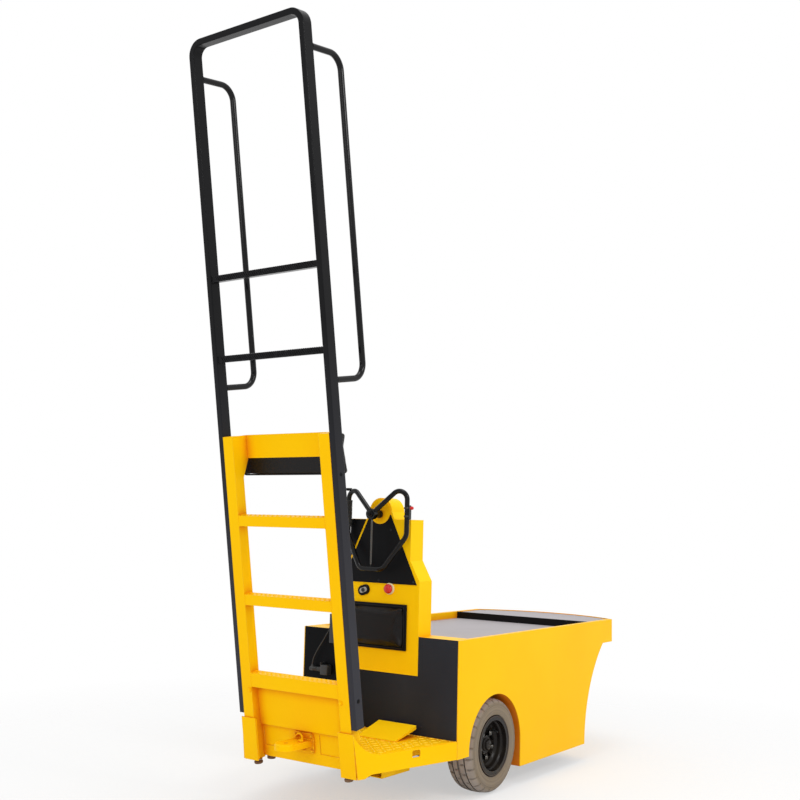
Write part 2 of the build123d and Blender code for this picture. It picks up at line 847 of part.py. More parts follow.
keep(tower_stiles, "tower_stiles")

# Two yellow rungs and the step on top of the lower panel
with BuildPart() as tower_rungs:
    for count, height in ((0, step_height), (1, rung_height), (2, rung_height)):
        with BuildSketch(ladder_side(stile_inner_half)):
            with Locations((rung_depth / 2, step_top_s + count * tower_pitch - height / 2)):
                Rectangle(rung_depth, height)
                Rectangle(rung_depth - 2 * stile_sheet, height - 2 * stile_sheet, mode=Mode.SUBTRACT)
        extrude(amount=2 * stile_inner_half)
keep(tower_rungs, "tower_rungs")

# Folded panel between the stiles under the step
with BuildPart() as rear_panel:
    with BuildSketch(ladder_side(stile_inner_half)):
        with BuildLine():
            Polyline(
                (panel_lower_depth, panel_bottom_s),
                (panel_lower_depth + sheet, panel_bottom_s),
                (panel_lower_depth + sheet, panel_fold_s + sheet),
                (panel_upper_depth + sheet, panel_fold_s + sheet),
                (panel_upper_depth + sheet, step_top_s - step_height),
                (panel_upper_depth, step_top_s - step_height),
                (panel_upper_depth, panel_fold_s),
                (panel_lower_depth, panel_fold_s),
                close=True,
            )
        make_face()
    extrude(amount=2 * stile_inner_half)
    with BuildSketch(ladder_plane(panel_lower_depth)):
        with Locations((pressing_inner_y, pressing_bottom_s)):
            Rectangle(
                stile_inner_half - pressing_end - pressing_inner_y, pressing_height, align=(Align.MIN, Align.MIN)
            )
        mirror(about=Plane.YZ)
    extrude(amount=pressing_depth, mode=Mode.SUBTRACT)
keep(rear_panel, "rear_panel")

# Plate at the top of the tower and the backrest in front of it
with BuildPart() as back_plate:
    with BuildSketch(ladder_plane(gusset_depth - sheet)):
        with Locations((0, tower_top_s)):
            Rectangle(2 * stile_inner_half, gusset_straight, align=(Align.CENTER, Align.MAX))
    extrude(amount=sheet)
keep(back_plate, "back_plate")

with BuildPart() as backrest_pad:
    with BuildSketch(ladder_plane(gusset_depth + seat_gap)):
        with Locations((0, tower_top_s - pad_height / 2)):
            RectangleRounded(2 * pad_half, pad_height, 2 * pad_round)
    extrude(amount=pad_thickness)
    fillet(backrest_pad.faces().sort_by(Axis(ladder_point(0, 0, 0), forward))[-1].edges(), pad_round)
keep(backrest_pad, "backrest_pad")

# Ladder: one bent loop of rectangular tube with two rungs
loop_path_half = ladder_half - tube_width / 2
loop_top_s = ladder_top_s - tube_width / 2
with BuildPart() as ladder_loop:
    with BuildLine(ladder_plane(tube_depth / 2)):
        FilletPolyline(
            (-loop_path_half, post_bottom_s),
            (-loop_path_half, loop_top_s),
            (loop_path_half, loop_top_s),
            (loop_path_half, post_bottom_s),
            radius=loop_radius,
        )
    section_plane = Plane(
        origin=ladder_point(tube_depth / 2, -loop_path_half, post_bottom_s), x_dir=(0, 1, 0), z_dir=upslope
    )
    with BuildSketch(section_plane):
        RectangleRounded(tube_width, tube_depth, tube_round)
        Rectangle(tube_width - 2 * tube_wall, tube_depth - 2 * tube_wall, mode=Mode.SUBTRACT)
    sweep()
keep(ladder_loop, "ladder_loop")

with BuildPart() as ladder_rungs:
    for count in (1, 2):
        with BuildSketch(ladder_side(post_inner_half)):
            with Locations((tube_depth / 2, tower_top_s + count * ladder_pitch - black_rung_height / 2)):
                Rectangle(black_rung_depth, black_rung_height)
                Rectangle(black_rung_depth - 2 * tube_wall, black_rung_height - 2 * tube_wall, mode=Mode.SUBTRACT)
        extrude(amount=2 * post_inner_half)
keep(ladder_rungs, "ladder_rungs")

# Round handrails standing off the front of each post
with BuildPart() as handrails:
    with BuildLine(ladder_side(loop_path_half)):
        FilletPolyline(
            (tube_depth, rail_top_s),
            (rail_reach, rail_top_s),
            (rail_reach, rail_bottom_s),
            (tube_depth, rail_bottom_s),
            radius=rail_bend,
        )
    rail_start = Plane(origin=ladder_point(tube_depth, loop_path_half, rail_top_s), z_dir=forward)
    with BuildSketch(rail_start):
        Circle(rail_tube_radius)
        RegularPolygon(rail_tube_radius - rail_tube_wall, 8, mode=Mode.SUBTRACT)
    sweep()
    mirror(about=Plane.XZ)
keep(handrails, "handrails")

# Tow hitch: plate and a round-ended tongue with a pin bore, over a rib
hitch_mid = ladder_point(panel_lower_depth, 0, hitch_s)
hitch_bore_x = hitch_mid[0] - hitch_reach + hitch_half
tongue_z = hitch_mid[2] - hitch_tongue / 2
tongue_root_x = ladder_at(panel_lower_depth - hitch_plate_sheet, tongue_z + hitch_tongue)
rib_foot_z = ladder_point(panel_lower_depth, 0, hitch_s - hitch_plate_height / 2)[2] + hitch_plate_sheet
rib_foot_x = ladder_at(panel_lower_depth - hitch_plate_sheet / 2, rib_foot_z)
with BuildPart() as tow_hitch:
    with BuildSketch(Plane.XY.offset(tongue_z)):
        with Locations((tongue_root_x + hitch_plate_sheet, 0)):
            Rectangle(
                tongue_root_x + hitch_plate_sheet - hitch_bore_x, 2 * hitch_half, align=(Align.MAX, Align.CENTER)
            )
        with Locations((hitch_bore_x, 0)):
            Circle(hitch_half)
    extrude(amount=hitch_tongue)
    tongue_top = tow_hitch.faces().sort_by(Axis.Z)[-1]
    chamfer(tongue_top.edges(), hitch_chamfer)
    with BuildSketch(Plane.XZ.offset(-hitch_rib / 2)):
        with BuildLine():
            Polyline(
                (hitch_bore_x + hitch_half, tongue_z),
                (rib_foot_x, rib_foot_z),
                (rib_foot_x, tongue_z + hitch_tongue / 2),
                (hitch_bore_x + hitch_half, tongue_z + hitch_tongue / 2),
                close=True,
            )
        make_face()
    extrude(amount=hitch_rib)
    with BuildSketch(ladder_plane(panel_lower_depth)):
        with Locations((0, hitch_s)):
            Rectangle(2 * hitch_plate_half, 2 * hitch_reach)
    extrude(amount=hitch_reach, mode=Mode.SUBTRACT)
    with BuildSketch(ladder_plane(panel_lower_depth - hitch_plate_sheet)):
        with Locations((0, hitch_s)):
            RectangleRounded(2 * hitch_plate_half, hitch_plate_height, 2 * hitch_plate_sheet)
    extrude(amount=hitch_plate_sheet)
    with BuildSketch(Plane.XY.offset(tongue_z)):
        with Locations((hitch_bore_x, 0)):
            Circle(hitch_bore_radius)
    extrude(amount=hitch_tongue, mode=Mode.SUBTRACT)
keep(tow_hitch, "tow_hitch")

# Console: folded shell with shoulders and a round-topped hump for the column

def console_outline():
    """Rear view of the console, as lines on the current sketch."""
    lower = [
        (-hump_half, console_top_z),
        (-console_upper_half, console_top_z),
        (-console_upper_half, console_shoulder_z),
        (-console_half, console_waist_z),
        (-console_half, console_bottom_z),
        (console_half, console_bottom_z),
        (console_half, console_waist_z),
        (console_upper_half, console_shoulder_z),
        (console_upper_half, console_top_z),
        (hump_half, console_top_z),
        (hump_radius, hump_z),
    ]
    outline = Polyline(*lower)
    ThreePointArc((hump_radius, hump_z), (0, hump_z + hump_radius), (-hump_radius, hump_z))
    Line((-hump_radius, hump_z), (-hump_half, console_top_z))
    return outline


with BuildPart() as console:
    with BuildSketch(Plane.YZ.offset(console_x)) as outline_sketch:
        with BuildLine():
            console_outline()
        make_face()
    extrude(amount=console_depth)
    with BuildSketch(Plane.YZ.offset(console_x + console_sheet)):
        with BuildLine():
            console_outline()
        make_face()
        offset(amount=-console_sheet, mode=Mode.REPLACE)
        with Locations((0, console_bottom_z)):
            Rectangle(2 * (console_half - console_sheet), 2 * console_sheet + 1.0)
    extrude(amount=console_depth - 2 * console_sheet, mode=Mode.SUBTRACT)
    with BuildSketch(Plane.YZ.offset(console_x)):
        with Locations((0, column_z)):
            Circle(column_radius + 2.0)
    extrude(amount=console_sheet, mode=Mode.SUBTRACT)
keep(console, "console")

with BuildPart() as dash_panel:
    with BuildSketch(Plane.YZ.offset(console_x)):
        with BuildLine():
            Polyline(
                (-dash_bottom_half, dash_bottom_z),
                (dash_bottom_half, dash_bottom_z),
                (dash_top_half, dash_top_z),
                (-dash_top_half, dash_top_z),
                close=True,
            )
        make_face()
        with Locations((0, hump_z)):
            Circle(boss_radius + seat_gap, mode=Mode.SUBTRACT)
    extrude(amount=-dash_sheet)
keep(dash_panel, "dash_panel")

dash_slope = (dash_bottom_half - dash_top_half) / (dash_top_z - dash_bottom_z)


def dash_edge(z):
    """Half width of the dash at a height."""
    return dash_bottom_half - (z - dash_bottom_z) * dash_slope


shoulder_bottom_z = console_shoulder_z + shoulder_margin
shoulder_top_z = console_top_z - shoulder_edge
shoulder_y = console_upper_half - shoulder_edge
with BuildPart() as shoulder_panel:
    with BuildSketch(Plane.YZ.offset(console_x)):
        with BuildLine():
            Polyline(
                (shoulder_y, shoulder_bottom_z),
                (shoulder_y, shoulder_top_z),
                (dash_edge(shoulder_top_z) + shoulder_margin, shoulder_top_z),
                (dash_edge(shoulder_bottom_z) + shoulder_margin, shoulder_bottom_z),
                close=True,
            )
        make_face()
    extrude(amount=-dash_sheet)
keep(shoulder_panel, "shoulder_panel")

with BuildPart() as column_boss:
    with BuildSketch(Plane.YZ.offset(console_x)):
        with Locations((0, hump_z)):
            Circle(boss_radius)
        with Locations((0, column_z)):
            Circle(column_radius + seat_gap, mode=Mode.SUBTRACT)
    extrude(amount=-boss_length)
keep(column_boss, "column_boss")

with BuildPart() as knee_pad:
    with BuildSketch(Plane.YZ.offset(console_x - seat_gap)):
        with Locations((0, knee_bottom_z + knee_height / 2)):
            RectangleRounded(2 * knee_half, knee_height, knee_round)
    extrude(amount=-knee_thickness)
    fillet(knee_pad.faces().sort_by(Axis.X)[0].edges(), knee_round)
keep(knee_pad, "knee_pad")

key_bezel = 6.0
with BuildPart() as key_switch:
    with BuildSketch(Plane.YZ.offset(console_x)):
        with Locations(Location((key_y, key_z), -key_turn)):
            SlotOverall(key_length, key_height)
    extrude(amount=-key_bezel)
    with BuildSketch(Plane.YZ.offset(console_x - key_bezel)):
        with Locations((key_y, key_z)):
            Circle(key_height / 4)
    extrude(amount=-key_bezel)
keep(key_switch, "key_switch")

with BuildPart() as stop_button:
    with BuildSketch(Plane.YZ.offset(console_x)):
        with Locations((stop_y, stop_z)):
            Circle(stop_radius / 2)
    extrude(amount=-stop_radius)
    with BuildSketch(Plane.YZ.offset(console_x - stop_radius / 2)):
        with Locations((stop_y, stop_z)):
            Circle(stop_radius)
    extrude(amount=-stop_radius / 2)
    chamfer(stop_button.faces().sort_by(Axis.X)[0].edges(), stop_radius / 6)
keep(stop_button, "stop_button")

# Handlebar: a closed tube loop hung from the hub, with its column and spoke
with BuildPart() as handlebar:
    with BuildLine() as bar_path:
        FilletPolyline(
            (bar_hub_x, 0, column_z),
            (bar_grip_x, -bar_half, bar_top_z),
            (bar_grip_x, -bar_half, bar_grip_bottom_z),
            (bar_bottom_x, -bar_bottom_half, bar_bottom_z),
            (bar_bottom_x, 0, bar_bottom_z),
            radius=list(bar_bends),
        )
    with BuildSketch(Plane(origin=bar_path.line @ 0, z_dir=bar_path.line % 0)):
        Circle(bar_radius)
    sweep()
    mirror(about=Plane.XZ)
    with BuildSketch(Plane.YZ.offset(bar_hub_x - hub_radius / 2)):
        with Locations((0, column_z)):
            Circle(hub_radius)
    extrude(amount=hub_radius)
    with BuildSketch(Plane.YZ.offset(bar_hub_x)):
        with Locations((0, column_z)):
            Circle(column_radius)
    extrude(amount=console_x + console_depth / 3 - bar_hub_x)
    with BuildSketch(Plane.XY.offset(bar_bottom_z)):
        with Locations((bar_bottom_x, 0)):
            Circle(spoke_radius)
    extrude(amount=column_z - bar_bottom_z)
keep(handlebar, "handlebar")

with BuildPart() as throttle_grip:
    with BuildSketch(Plane.XY.offset(grip_bottom_z)):
        with Locations((bar_grip_x, bar_half)):
            Circle(grip_radius)
            Circle(bar_radius + seat_gap, mode=Mode.SUBTRACT)
    extrude(amount=grip_top_z - grip_bottom_z)
keep(throttle_grip, "throttle_grip")

with BuildPart() as thumb_switch:
    with BuildSketch(Plane.XY.offset(switch_bottom_z)):
        with Locations((bar_grip_x, -bar_half - bar_radius - switch_reach)):
            Rectangle(switch_width, bar_radius + switch_reach, align=(Align.CENTER, Align.MIN))
        with Locations((bar_grip_x, -bar_half)):
            Circle(bar_radius + seat_gap, mode=Mode.SUBTRACT)
    extrude(amount=switch_height)
keep(thumb_switch, "thumb_switch")

# Box beside the console with the cord, its gland, its plug and the socket on the wall
box_x = wall_x - box_depth
with BuildPart() as cord_box:
    with Locations((wall_x, box_inner_y, box_bottom_z)):
        Box(
            box_depth,
            box_outer_y - box_inner_y,
            box_top_z - box_bottom_z,
            align=(Align.MAX, Align.MIN, Align.MIN),
        )
keep(cord_box, "cord_box")

cord_x = wall_x - box_depth / 2
cord_way_out = (0.0, cos(radians(cord_drop)), -sin(radians(cord_drop)))
gland_end_y = box_outer_y + gland_length * cord_way_out[1]
gland_end_z = cord_z + gland_length * cord_way_out[2]
cord_points = [
    (cord_x, gland_end_y, gland_end_z),
    (cord_x, gland_end_y + 9.7, gland_end_z - 17.5),
    (cord_x - 1.0, gland_end_y + 37.0, gland_end_z - 59.0),
    (cord_x - 2.0, gland_end_y + 65.0, gland_end_z - 98.0),
    (cord_x - 2.0, gland_end_y + 84.0, gland_end_z - 129.0),
    (cord_x - 1.0, gland_end_y + 97.0, gland_end_z - 156.0),
    (cord_x, gland_end_y + 99.0, gland_end_z - 174.0),
]
gland_plane = Plane(origin=cord_points[0], x_dir=(1, 0, 0), z_dir=cord_way_out)
with BuildPart() as cord_gland:
    with BuildSketch(gland_plane):
        Circle(gland_radius)
    extrude(amount=-2 * gland_length)
    with Locations((cord_x, box_outer_y, cord_z)):
        Box(
            box_depth,
            box_outer_y,
            4 * gland_length,
            align=(Align.CENTER, Align.MAX, Align.CENTER),
            mode=Mode.SUBTRACT,
        )
keep(cord_gland, "cord_gland")


def cord_radii(points):
    """Largest tangent arc at each corner: 0.45 of the shorter run over the tangent of half the turn."""
    radii = []
    for before, corner, after in zip(points, points[1:], points[2:]):
        first = Vector(*corner) - Vector(*before)
        second = Vector(*after) - Vector(*corner)
        turn = first.get_angle(second)
        radii.append(0.45 * min(first.length, second.length) / tan(radians(turn / 2)))
    return radii


with BuildPart() as charger_cord:
    with BuildLine() as cord_path:
        FilletPolyline(*cord_points, radius=cord_radii(cord_points))
    with BuildSketch(Plane(origin=cord_path.line @ 0, z_dir=cord_path.line % 0)):
        RegularPolygon(cord_radius, 8)
    sweep()
keep(charger_cord, "charger_cord")

# Elbow plug in the socket on the wall
cord_end = cord_path.line @ 1
cord_way = cord_path.line % 1
plug_z = cord_end.Z - plug_drop
plug_outer_y = cord_end.Y + plug_radius
with BuildPart() as cord_plug:
    with BuildSketch(Plane(origin=cord_end, z_dir=cord_way)):
        Circle(plug_collar)
    extrude(amount=plug_drop)
    with BuildSketch(Plane.XZ.offset(-plug_outer_y)):
        with Locations((cord_x, plug_z)):
            Circle(plug_radius)
    extrude(amount=plug_length)
keep(cord_plug, "cord_plug")

with BuildPart() as wall_socket:
    with Locations((wall_x, plug_outer_y - plug_length, plug_z)):
        Box(box_depth, socket_size, socket_size, align=(Align.MAX, Align.MAX, Align.CENTER))
keep(wall_socket, "wall_socket")
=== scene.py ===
"""Looks of a stand-up stock chaser with an order-picking ladder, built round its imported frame."""
import json
from math import cos, pi, radians, sin

import bmesh
import bpy
from bpy.props import FloatProperty, FloatVectorProperty, IntProperty, PointerProperty
from bpy.types import Operator, Panel, PropertyGroup
from mathutils import Matrix, Vector

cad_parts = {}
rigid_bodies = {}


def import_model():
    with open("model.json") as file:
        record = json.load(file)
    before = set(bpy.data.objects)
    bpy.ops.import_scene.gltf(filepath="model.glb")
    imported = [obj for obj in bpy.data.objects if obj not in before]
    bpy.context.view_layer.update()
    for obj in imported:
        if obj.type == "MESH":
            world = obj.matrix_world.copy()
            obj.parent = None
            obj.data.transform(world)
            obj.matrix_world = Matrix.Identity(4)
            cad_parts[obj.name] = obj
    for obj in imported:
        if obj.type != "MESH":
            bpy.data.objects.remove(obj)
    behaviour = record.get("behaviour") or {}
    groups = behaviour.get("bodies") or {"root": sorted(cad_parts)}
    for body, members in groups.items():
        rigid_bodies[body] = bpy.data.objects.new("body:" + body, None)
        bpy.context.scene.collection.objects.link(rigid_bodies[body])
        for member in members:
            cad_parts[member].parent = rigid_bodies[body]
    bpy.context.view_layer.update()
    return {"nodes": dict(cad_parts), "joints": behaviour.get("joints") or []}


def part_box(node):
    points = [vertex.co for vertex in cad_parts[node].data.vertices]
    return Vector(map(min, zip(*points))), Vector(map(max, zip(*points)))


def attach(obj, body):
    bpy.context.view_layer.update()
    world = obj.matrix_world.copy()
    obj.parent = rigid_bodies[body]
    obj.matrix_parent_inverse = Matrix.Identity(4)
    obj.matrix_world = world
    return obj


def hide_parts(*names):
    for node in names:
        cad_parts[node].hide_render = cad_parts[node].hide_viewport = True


bl_info = {
    "name": "Stock Chaser Looks",
    "version": (1, 0, 0),
    "blender": (4, 5, 0),
    "location": "View3D > Sidebar > Chaser",
    "description": "Finishes, pads, tyres, trim and stage for a stand-up stock chaser with a ladder",
    "category": "Object",
}

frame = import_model()

# The ladder leans back from the upright; s runs up its slope and depth runs forward from its rear plane.
LEAN = radians(9.62)
LADDER_FOOT_X = -0.803
FIRST_STEP, STEP_PITCH = 0.539, 0.321
FIRST_RUNG, RUNG_PITCH = 1.502, 0.327
LADDER_FORWARD = Vector((cos(LEAN), 0.0, sin(LEAN)))
LADDER_UP = Vector((-sin(LEAN), 0.0, cos(LEAN)))
LEFT = Vector((0.0, 1.0, 0.0))
UP = Vector((0.0, 0.0, 1.0))
AHEAD = Vector((1.0, 0.0, 0.0))
BACK = Vector((-1.0, 0.0, 0.0))
SIDES = (-1.0, 1.0)


def ladder_point(depth, y, s):
    """Point of the leaning ladder in the shared frame."""
    return Vector((LADDER_FOOT_X, y, 0.0)) + depth * LADDER_FORWARD + s * LADDER_UP


def step_top(count):
    """Slope height of a yellow step's top."""
    return FIRST_STEP + count * STEP_PITCH


def rung_top(count):
    """Slope height of a black rung's top."""
    return FIRST_RUNG + count * RUNG_PITCH


def joint_place(name):
    """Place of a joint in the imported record."""
    return Vector(next(joint["pos_m"] for joint in frame["joints"] if joint["name"] == name))


REAR_AXLE = joint_place("rear_left_spin")
FRONT_AXLE = joint_place("front_spin")
COLUMN = joint_place("bar_turn")


def wheel_centre(side):
    """Centre of the rear wheel on one side."""
    return Vector((REAR_AXLE.x, side * REAR_AXLE.y, REAR_AXLE.z))


# Properties

def linear(*screen):
    """Linear colour of an 8-bit screen colour."""
    levels = (level / 255.0 for level in screen)
    return tuple(level / 12.92 if level <= 0.04045 else ((level + 0.055) / 1.055) ** 2.4 for level in levels)


def colour(name, description, *screen):
    """Colour property whose default is a screen colour."""
    return FloatVectorProperty(
        name=name, description=description, default=linear(*screen), subtype="COLOR", size=3, min=0.0, max=1.0
    )


def number(name, description, default, unit="NONE"):
    """Number property with its unit."""
    return FloatProperty(name=name, description=description, default=default, unit=unit, precision=4)


def length(name, description, default):
    """Length property in metres."""
    return number(name, description, default, "LENGTH")


class ChaserFinish(PropertyGroup):
    """Colours of the painted, moulded and rubber surfaces."""

    yellow: colour("Yellow", "Enamel of the body, console and tower", 255, 200, 8)
    yellow_shade: colour("Yellow shade", "Deeper patches of the enamel", 254, 190, 10)
    # Painted highlight and wear: pale edge colour of the enamel, for rubbed edges and the light they catch
    yellow_edge: colour("Yellow edge", "Rubbed edges of the enamel", 255, 222, 110)
    # Painted shade: the enamel's colour in corners and folds, laid on by the crease mask
    yellow_crease: colour("Yellow crease", "Enamel in the corners and folds", 232, 136, 14)
    # Painted shade: the arch lining is yellow sheet, given this orange-brown for the shade and yellow bounce light
    # inside the arches
    arch: colour("Arch", "Orange-brown lining of the wheel arches", 240, 130, 24)
    black: colour("Black", "Gloss enamel of the ladder and handlebar", 13, 13, 15)
    # Painted light: paler slate for the lower posts, standing in for the light on their sides
    slate: colour("Slate", "Rubbed black of the ladder's lower posts", 50, 50, 56)
    # The dash's colour is this black at 0.12 of its level, darkened partly as painted shade
    wall: colour("Wall", "Satin black of the wall and dash", 40, 43, 50)
    # Painted highlight and wear: pale edge colour of the black enamel, for rubbed edges and the light they catch
    black_edge: colour("Black edge", "Rubbed edges of the black enamel", 78, 79, 84)
    deck: colour("Deck", "Coating of the load deck", 168, 163, 166)
    tyre: colour("Tyre", "Dusty rubber of the sidewalls", 138, 124, 105)
    tread: colour("Tread", "Rubber of the tread", 166, 156, 148)
    vinyl: colour("Vinyl", "Covers of the knee pad and the backrest", 19, 16, 16)
    red: colour("Red", "Stop button and thumb button", 214, 44, 26)
    cream: colour("Cream", "Collar of the stop button", 236, 222, 178)
    steel: colour("Steel", "Bolts and nuts", 168, 165, 160)
    foot: colour("Foot", "Brown rubber of the feet", 112, 78, 52)
    dust: colour("Dust", "Dust near the ground", 176, 158, 124)
    peel: number("Peel", "Bumps of the enamel per metre", 230.0)


class ChaserSizes(PropertyGroup):
    """Sizes of the small pieces."""

    tyre_columns: IntProperty(name="Tyre columns", description="Facets of a tyre for each lug", default=13, min=6)
    tyre_lugs: IntProperty(name="Tyre lugs", description="Slits round each shoulder", default=26, min=8)
    slit_depth: length("Slit depth", "Depth of the slits in the tyre's shoulder", 0.0045)
    nut_radius: length("Nut radius", "Corner radius of the wheel nuts", 0.0125)
    bolt_radius: length("Bolt radius", "Corner radius of the frame's hex bolts", 0.0065)
    screw_radius: length("Screw radius", "Radius of the dome screws", 0.0050)
    bead_radius: length("Bead radius", "Radius of the weld beads", 0.0024)
    bead_pitch: length("Bead pitch", "Distance between weld ripples", 0.0042)
    lozenge_length: length("Lozenge length", "Length of the tread plate's lozenges", 0.0240)
    lozenge_pitch: length("Lozenge pitch", "Distance between lozenges", 0.0300)
    button_radius: length("Button radius", "Radius of the step's grip buttons", 0.0050)
    ridge_pitch: length("Ridge pitch", "Distance between the black rung's ridges", 0.0110)
    pad_cap: length("Pad cap", "How far a point of a pad may swell", 0.0100)
    pad_voxel: length("Pad voxel", "Mesh size of the pads", 0.0050)


class ChaserStage(PropertyGroup):
    """Camera, lamps and floor."""

    camera_place: FloatVectorProperty(
        name="Camera", description="Place of the camera", default=(-4.1718, -2.8224, 1.1541), subtype="TRANSLATION"
    )
    camera_yaw: number("Yaw", "Heading of the camera from +X", radians(35.448), "ROTATION")
    camera_pitch: number("Pitch", "Tilt of the camera upwards", radians(6.525), "ROTATION")
    camera_roll: number("Roll", "Turn of the camera about its own line", radians(1.359), "ROTATION")
    lens: number("Lens", "Focal length on a 36 mm sensor", 48.10)
    key_power: number("Key", "Power of the lamp on the right", 70.0, "POWER")
    fill_power: number("Fill", "Power of the lamp behind", 34.0, "POWER")
    top_power: number("Top", "Power of the lamp overhead", 76.0, "POWER")
    sky_level: number("Sky", "Strength of the all-round light", 0.86)
    floor_level: number("Floor", "Brightness of the pale floor", 0.84)
    floor_white: number("Floor white", "Share of plain white in the floor's look", 0.5)


# Node building

class Net:
    """Short ways to fill a node tree."""

    def __init__(self, tree):
        self.tree = tree

    def node(self, kind, inputs=None, **settings):
        """Node with its settings, and its inputs set or linked by name or number."""
        made = self.tree.nodes.new(kind)
        for key, value in settings.items():
            setattr(made, key, value)
        for key, value in (inputs or {}).items():
            if isinstance(value, bpy.types.NodeSocket):
                self.link(value, made.inputs[key])
            else:
                made.inputs[key].default_value = value
        return made

    def add(self, kind, output, inputs=None, **settings):
        """One output of a new node."""
        return self.node(kind, inputs, **settings).outputs[output]

    def link(self, source, target):
        """Link from an output to an input."""
        self.tree.links.new(source, target)

    def math(self, operation, first, second=0.0, clamp=True):
        """Output of a two-value sum, product or the like."""
        return self.add("ShaderNodeMath", 0, {0: first, 1: second}, operation=operation, use_clamp=clamp)

    def times(self, first, second):
        """Product of two values."""
        return self.math("MULTIPLY", first, second)

    def ramp(self, value, low, high, start=0.0, end=1.0):
        """Value stretched so that low becomes the start and high becomes the end."""
        given = {"Value": value, "From Min": low, "From Max": high, "To Min": start, "To Max": end}
        return self.add("ShaderNodeMapRange", "Result", given, clamp=True)

    def place(self):
        """Object coordinates."""
        return self.add("ShaderNodeTexCoord", "Object")

    def noise(self, place, scale, detail=2.0, roughness=0.5, distortion=0.0):
        """Noise value on a coordinate."""
        given = {"Vector": place, "Scale": scale, "Detail": detail, "Roughness": roughness, "Distortion": distortion}
        return self.add("ShaderNodeTexNoise", "Fac", given)

    def mix(self, amount, first, second):
        """Colour between two colours."""
        return self.add("ShaderNodeMix", 2, {"Factor": amount, 6: first, 7: second}, data_type="RGBA")

    def bump(self, height, strength, distance):
        """Bump node on a height."""
        return self.node("ShaderNodeBump", {"Height": height, "Strength": strength, "Distance": distance})

    def group(self, tree, **values):
        """Outputs of a group node with its plain inputs set by name."""
        made = self.node("ShaderNodeGroup", node_tree=tree)
        for key, value in values.items():
            made.inputs[titled(key)].default_value = value
        return made.outputs


def titled(key):
    """Socket name of a keyword."""
    return key.replace("_", " ").title().replace("Ior", "IOR")


def once(build):
    """Decorator of a node group's builder: the group has the builder's name and is built at its first use."""
    def group():
        return bpy.data.node_groups.get(build.__name__) or build(build.__name__)
    return group


GREY = (0.5, 0.5, 0.5, 1.0)


def new_group(name, outputs, **inputs):
    """Shader node group with named sockets; returns its net, its inputs and its results."""
    tree = bpy.data.node_groups.new(name, "ShaderNodeTree")
    for key, default in inputs.items():
        kind = "NodeSocketColor" if default is GREY else "NodeSocketFloat"
        tree.interface.new_socket(titled(key), in_out="INPUT", socket_type=kind).default_value = default
    for socket in outputs.split():
        kind = "NodeSocketColor" if socket == "Color" else "NodeSocketFloat"
        tree.interface.new_socket(socket, in_out="OUTPUT", socket_type=kind)
    return Net(tree), tree.nodes.new("NodeGroupInput").outputs, tree.nodes.new("NodeGroupOutput").inputs


@once
def paint_skin(name):
    """Shared skin of paint, rubber and plastic: patches, scuffs, dust near the ground and a fine peel."""
    net, given, result = new_group(
        name, "Color Roughness Height", color=GREY, shade=GREY, dust=GREY, roughness=0.4, patch=0.5, scuff=0.2,
        dust_amount=0.3, dust_top=0.4, peel_scale=230.0,
    )
    place = net.place()
    patch = net.ramp(net.noise(place, 2.3, 3.0), 0.35, 0.72)
    patched = net.mix(net.times(patch, given["Patch"]), given["Color"], given["Shade"])
    scuff = net.times(net.ramp(net.noise(place, 42.0, 6.0, 0.72, 1.3), 0.60, 0.74), given["Scuff"])
    scuffed = net.mix(scuff, patched, given["Shade"])
    near = net.ramp(net.add("ShaderNodeSeparateXYZ", "Z", {0: place}), 0.02, given["Dust Top"], 1.0, 0.0)
    cloud = net.ramp(net.noise(place, 11.0, 5.0, 0.62), 0.36, 0.70)
    dusty = net.times(net.times(near, cloud), given["Dust Amount"])
    net.link(net.mix(dusty, scuffed, given["Dust"]), result["Color"])
    rough = given["Roughness"]
    for mask, share in ((dusty, 0.35), (scuff, 0.25), (patch, 0.05)):
        rough = net.math("ADD", rough, net.times(mask, share))
    net.link(rough, result["Roughness"])
    net.link(net.noise(place, given["Peel Scale"], 2.0, 0.45), result["Height"])
    return net.tree


@once
def edge_wear(name):
    """Mask of rubbed edges that also carries painted highlight along them, broken up by a fine noise."""
    net, given, result = new_group(name, "Mask", width=0.003, broken=60.0)
    rounded = net.add("ShaderNodeBevel", "Normal", {"Radius": given["Width"]}, samples=4)
    plain = net.add("ShaderNodeNewGeometry", "Normal")
    match = net.add("ShaderNodeVectorMath", "Value", {0: rounded, 1: plain}, operation="DOT_PRODUCT")
    edge = net.ramp(net.math("SUBTRACT", 1.0, match), 0.02, 0.20)
    breaks = net.ramp(net.noise(net.place(), given["Broken"], 4.0, 0.65), 0.42, 0.62)
    net.link(net.times(edge, breaks), result["Mask"])
    return net.tree


@once
def crease_grime(name):
    """Mask of corners and folds from ambient occlusion, where the colour is darkened as painted shade."""
    net, given, result = new_group(name, "Mask", reach=0.05)
    open_sky = net.add("ShaderNodeAmbientOcclusion", "AO", {"Distance": given["Reach"]}, samples=6)
    net.link(net.ramp(net.math("SUBTRACT", 1.0, open_sky), 0.06, 0.60), result["Mask"])
    return net.tree


@once
def vinyl_grain(name):
    """Creased cells of vinyl cloth, as a height and a colour mask."""
    net, given, result = new_group(name, "Height Crease", cell_scale=420.0)
    place = net.place()
    cells = {"Vector": place, "Scale": given["Cell Scale"]}
    edges = net.add("ShaderNodeTexVoronoi", "Distance", cells, feature="DISTANCE_TO_EDGE")
    crease = net.ramp(edges, 0.0, 0.22)
    wave = net.times(net.noise(place, 55.0, 3.0), 0.5)
    net.link(net.math("ADD", net.times(crease, 0.5), wave), result["Height"])
    net.link(crease, result["Crease"])
    return net.tree


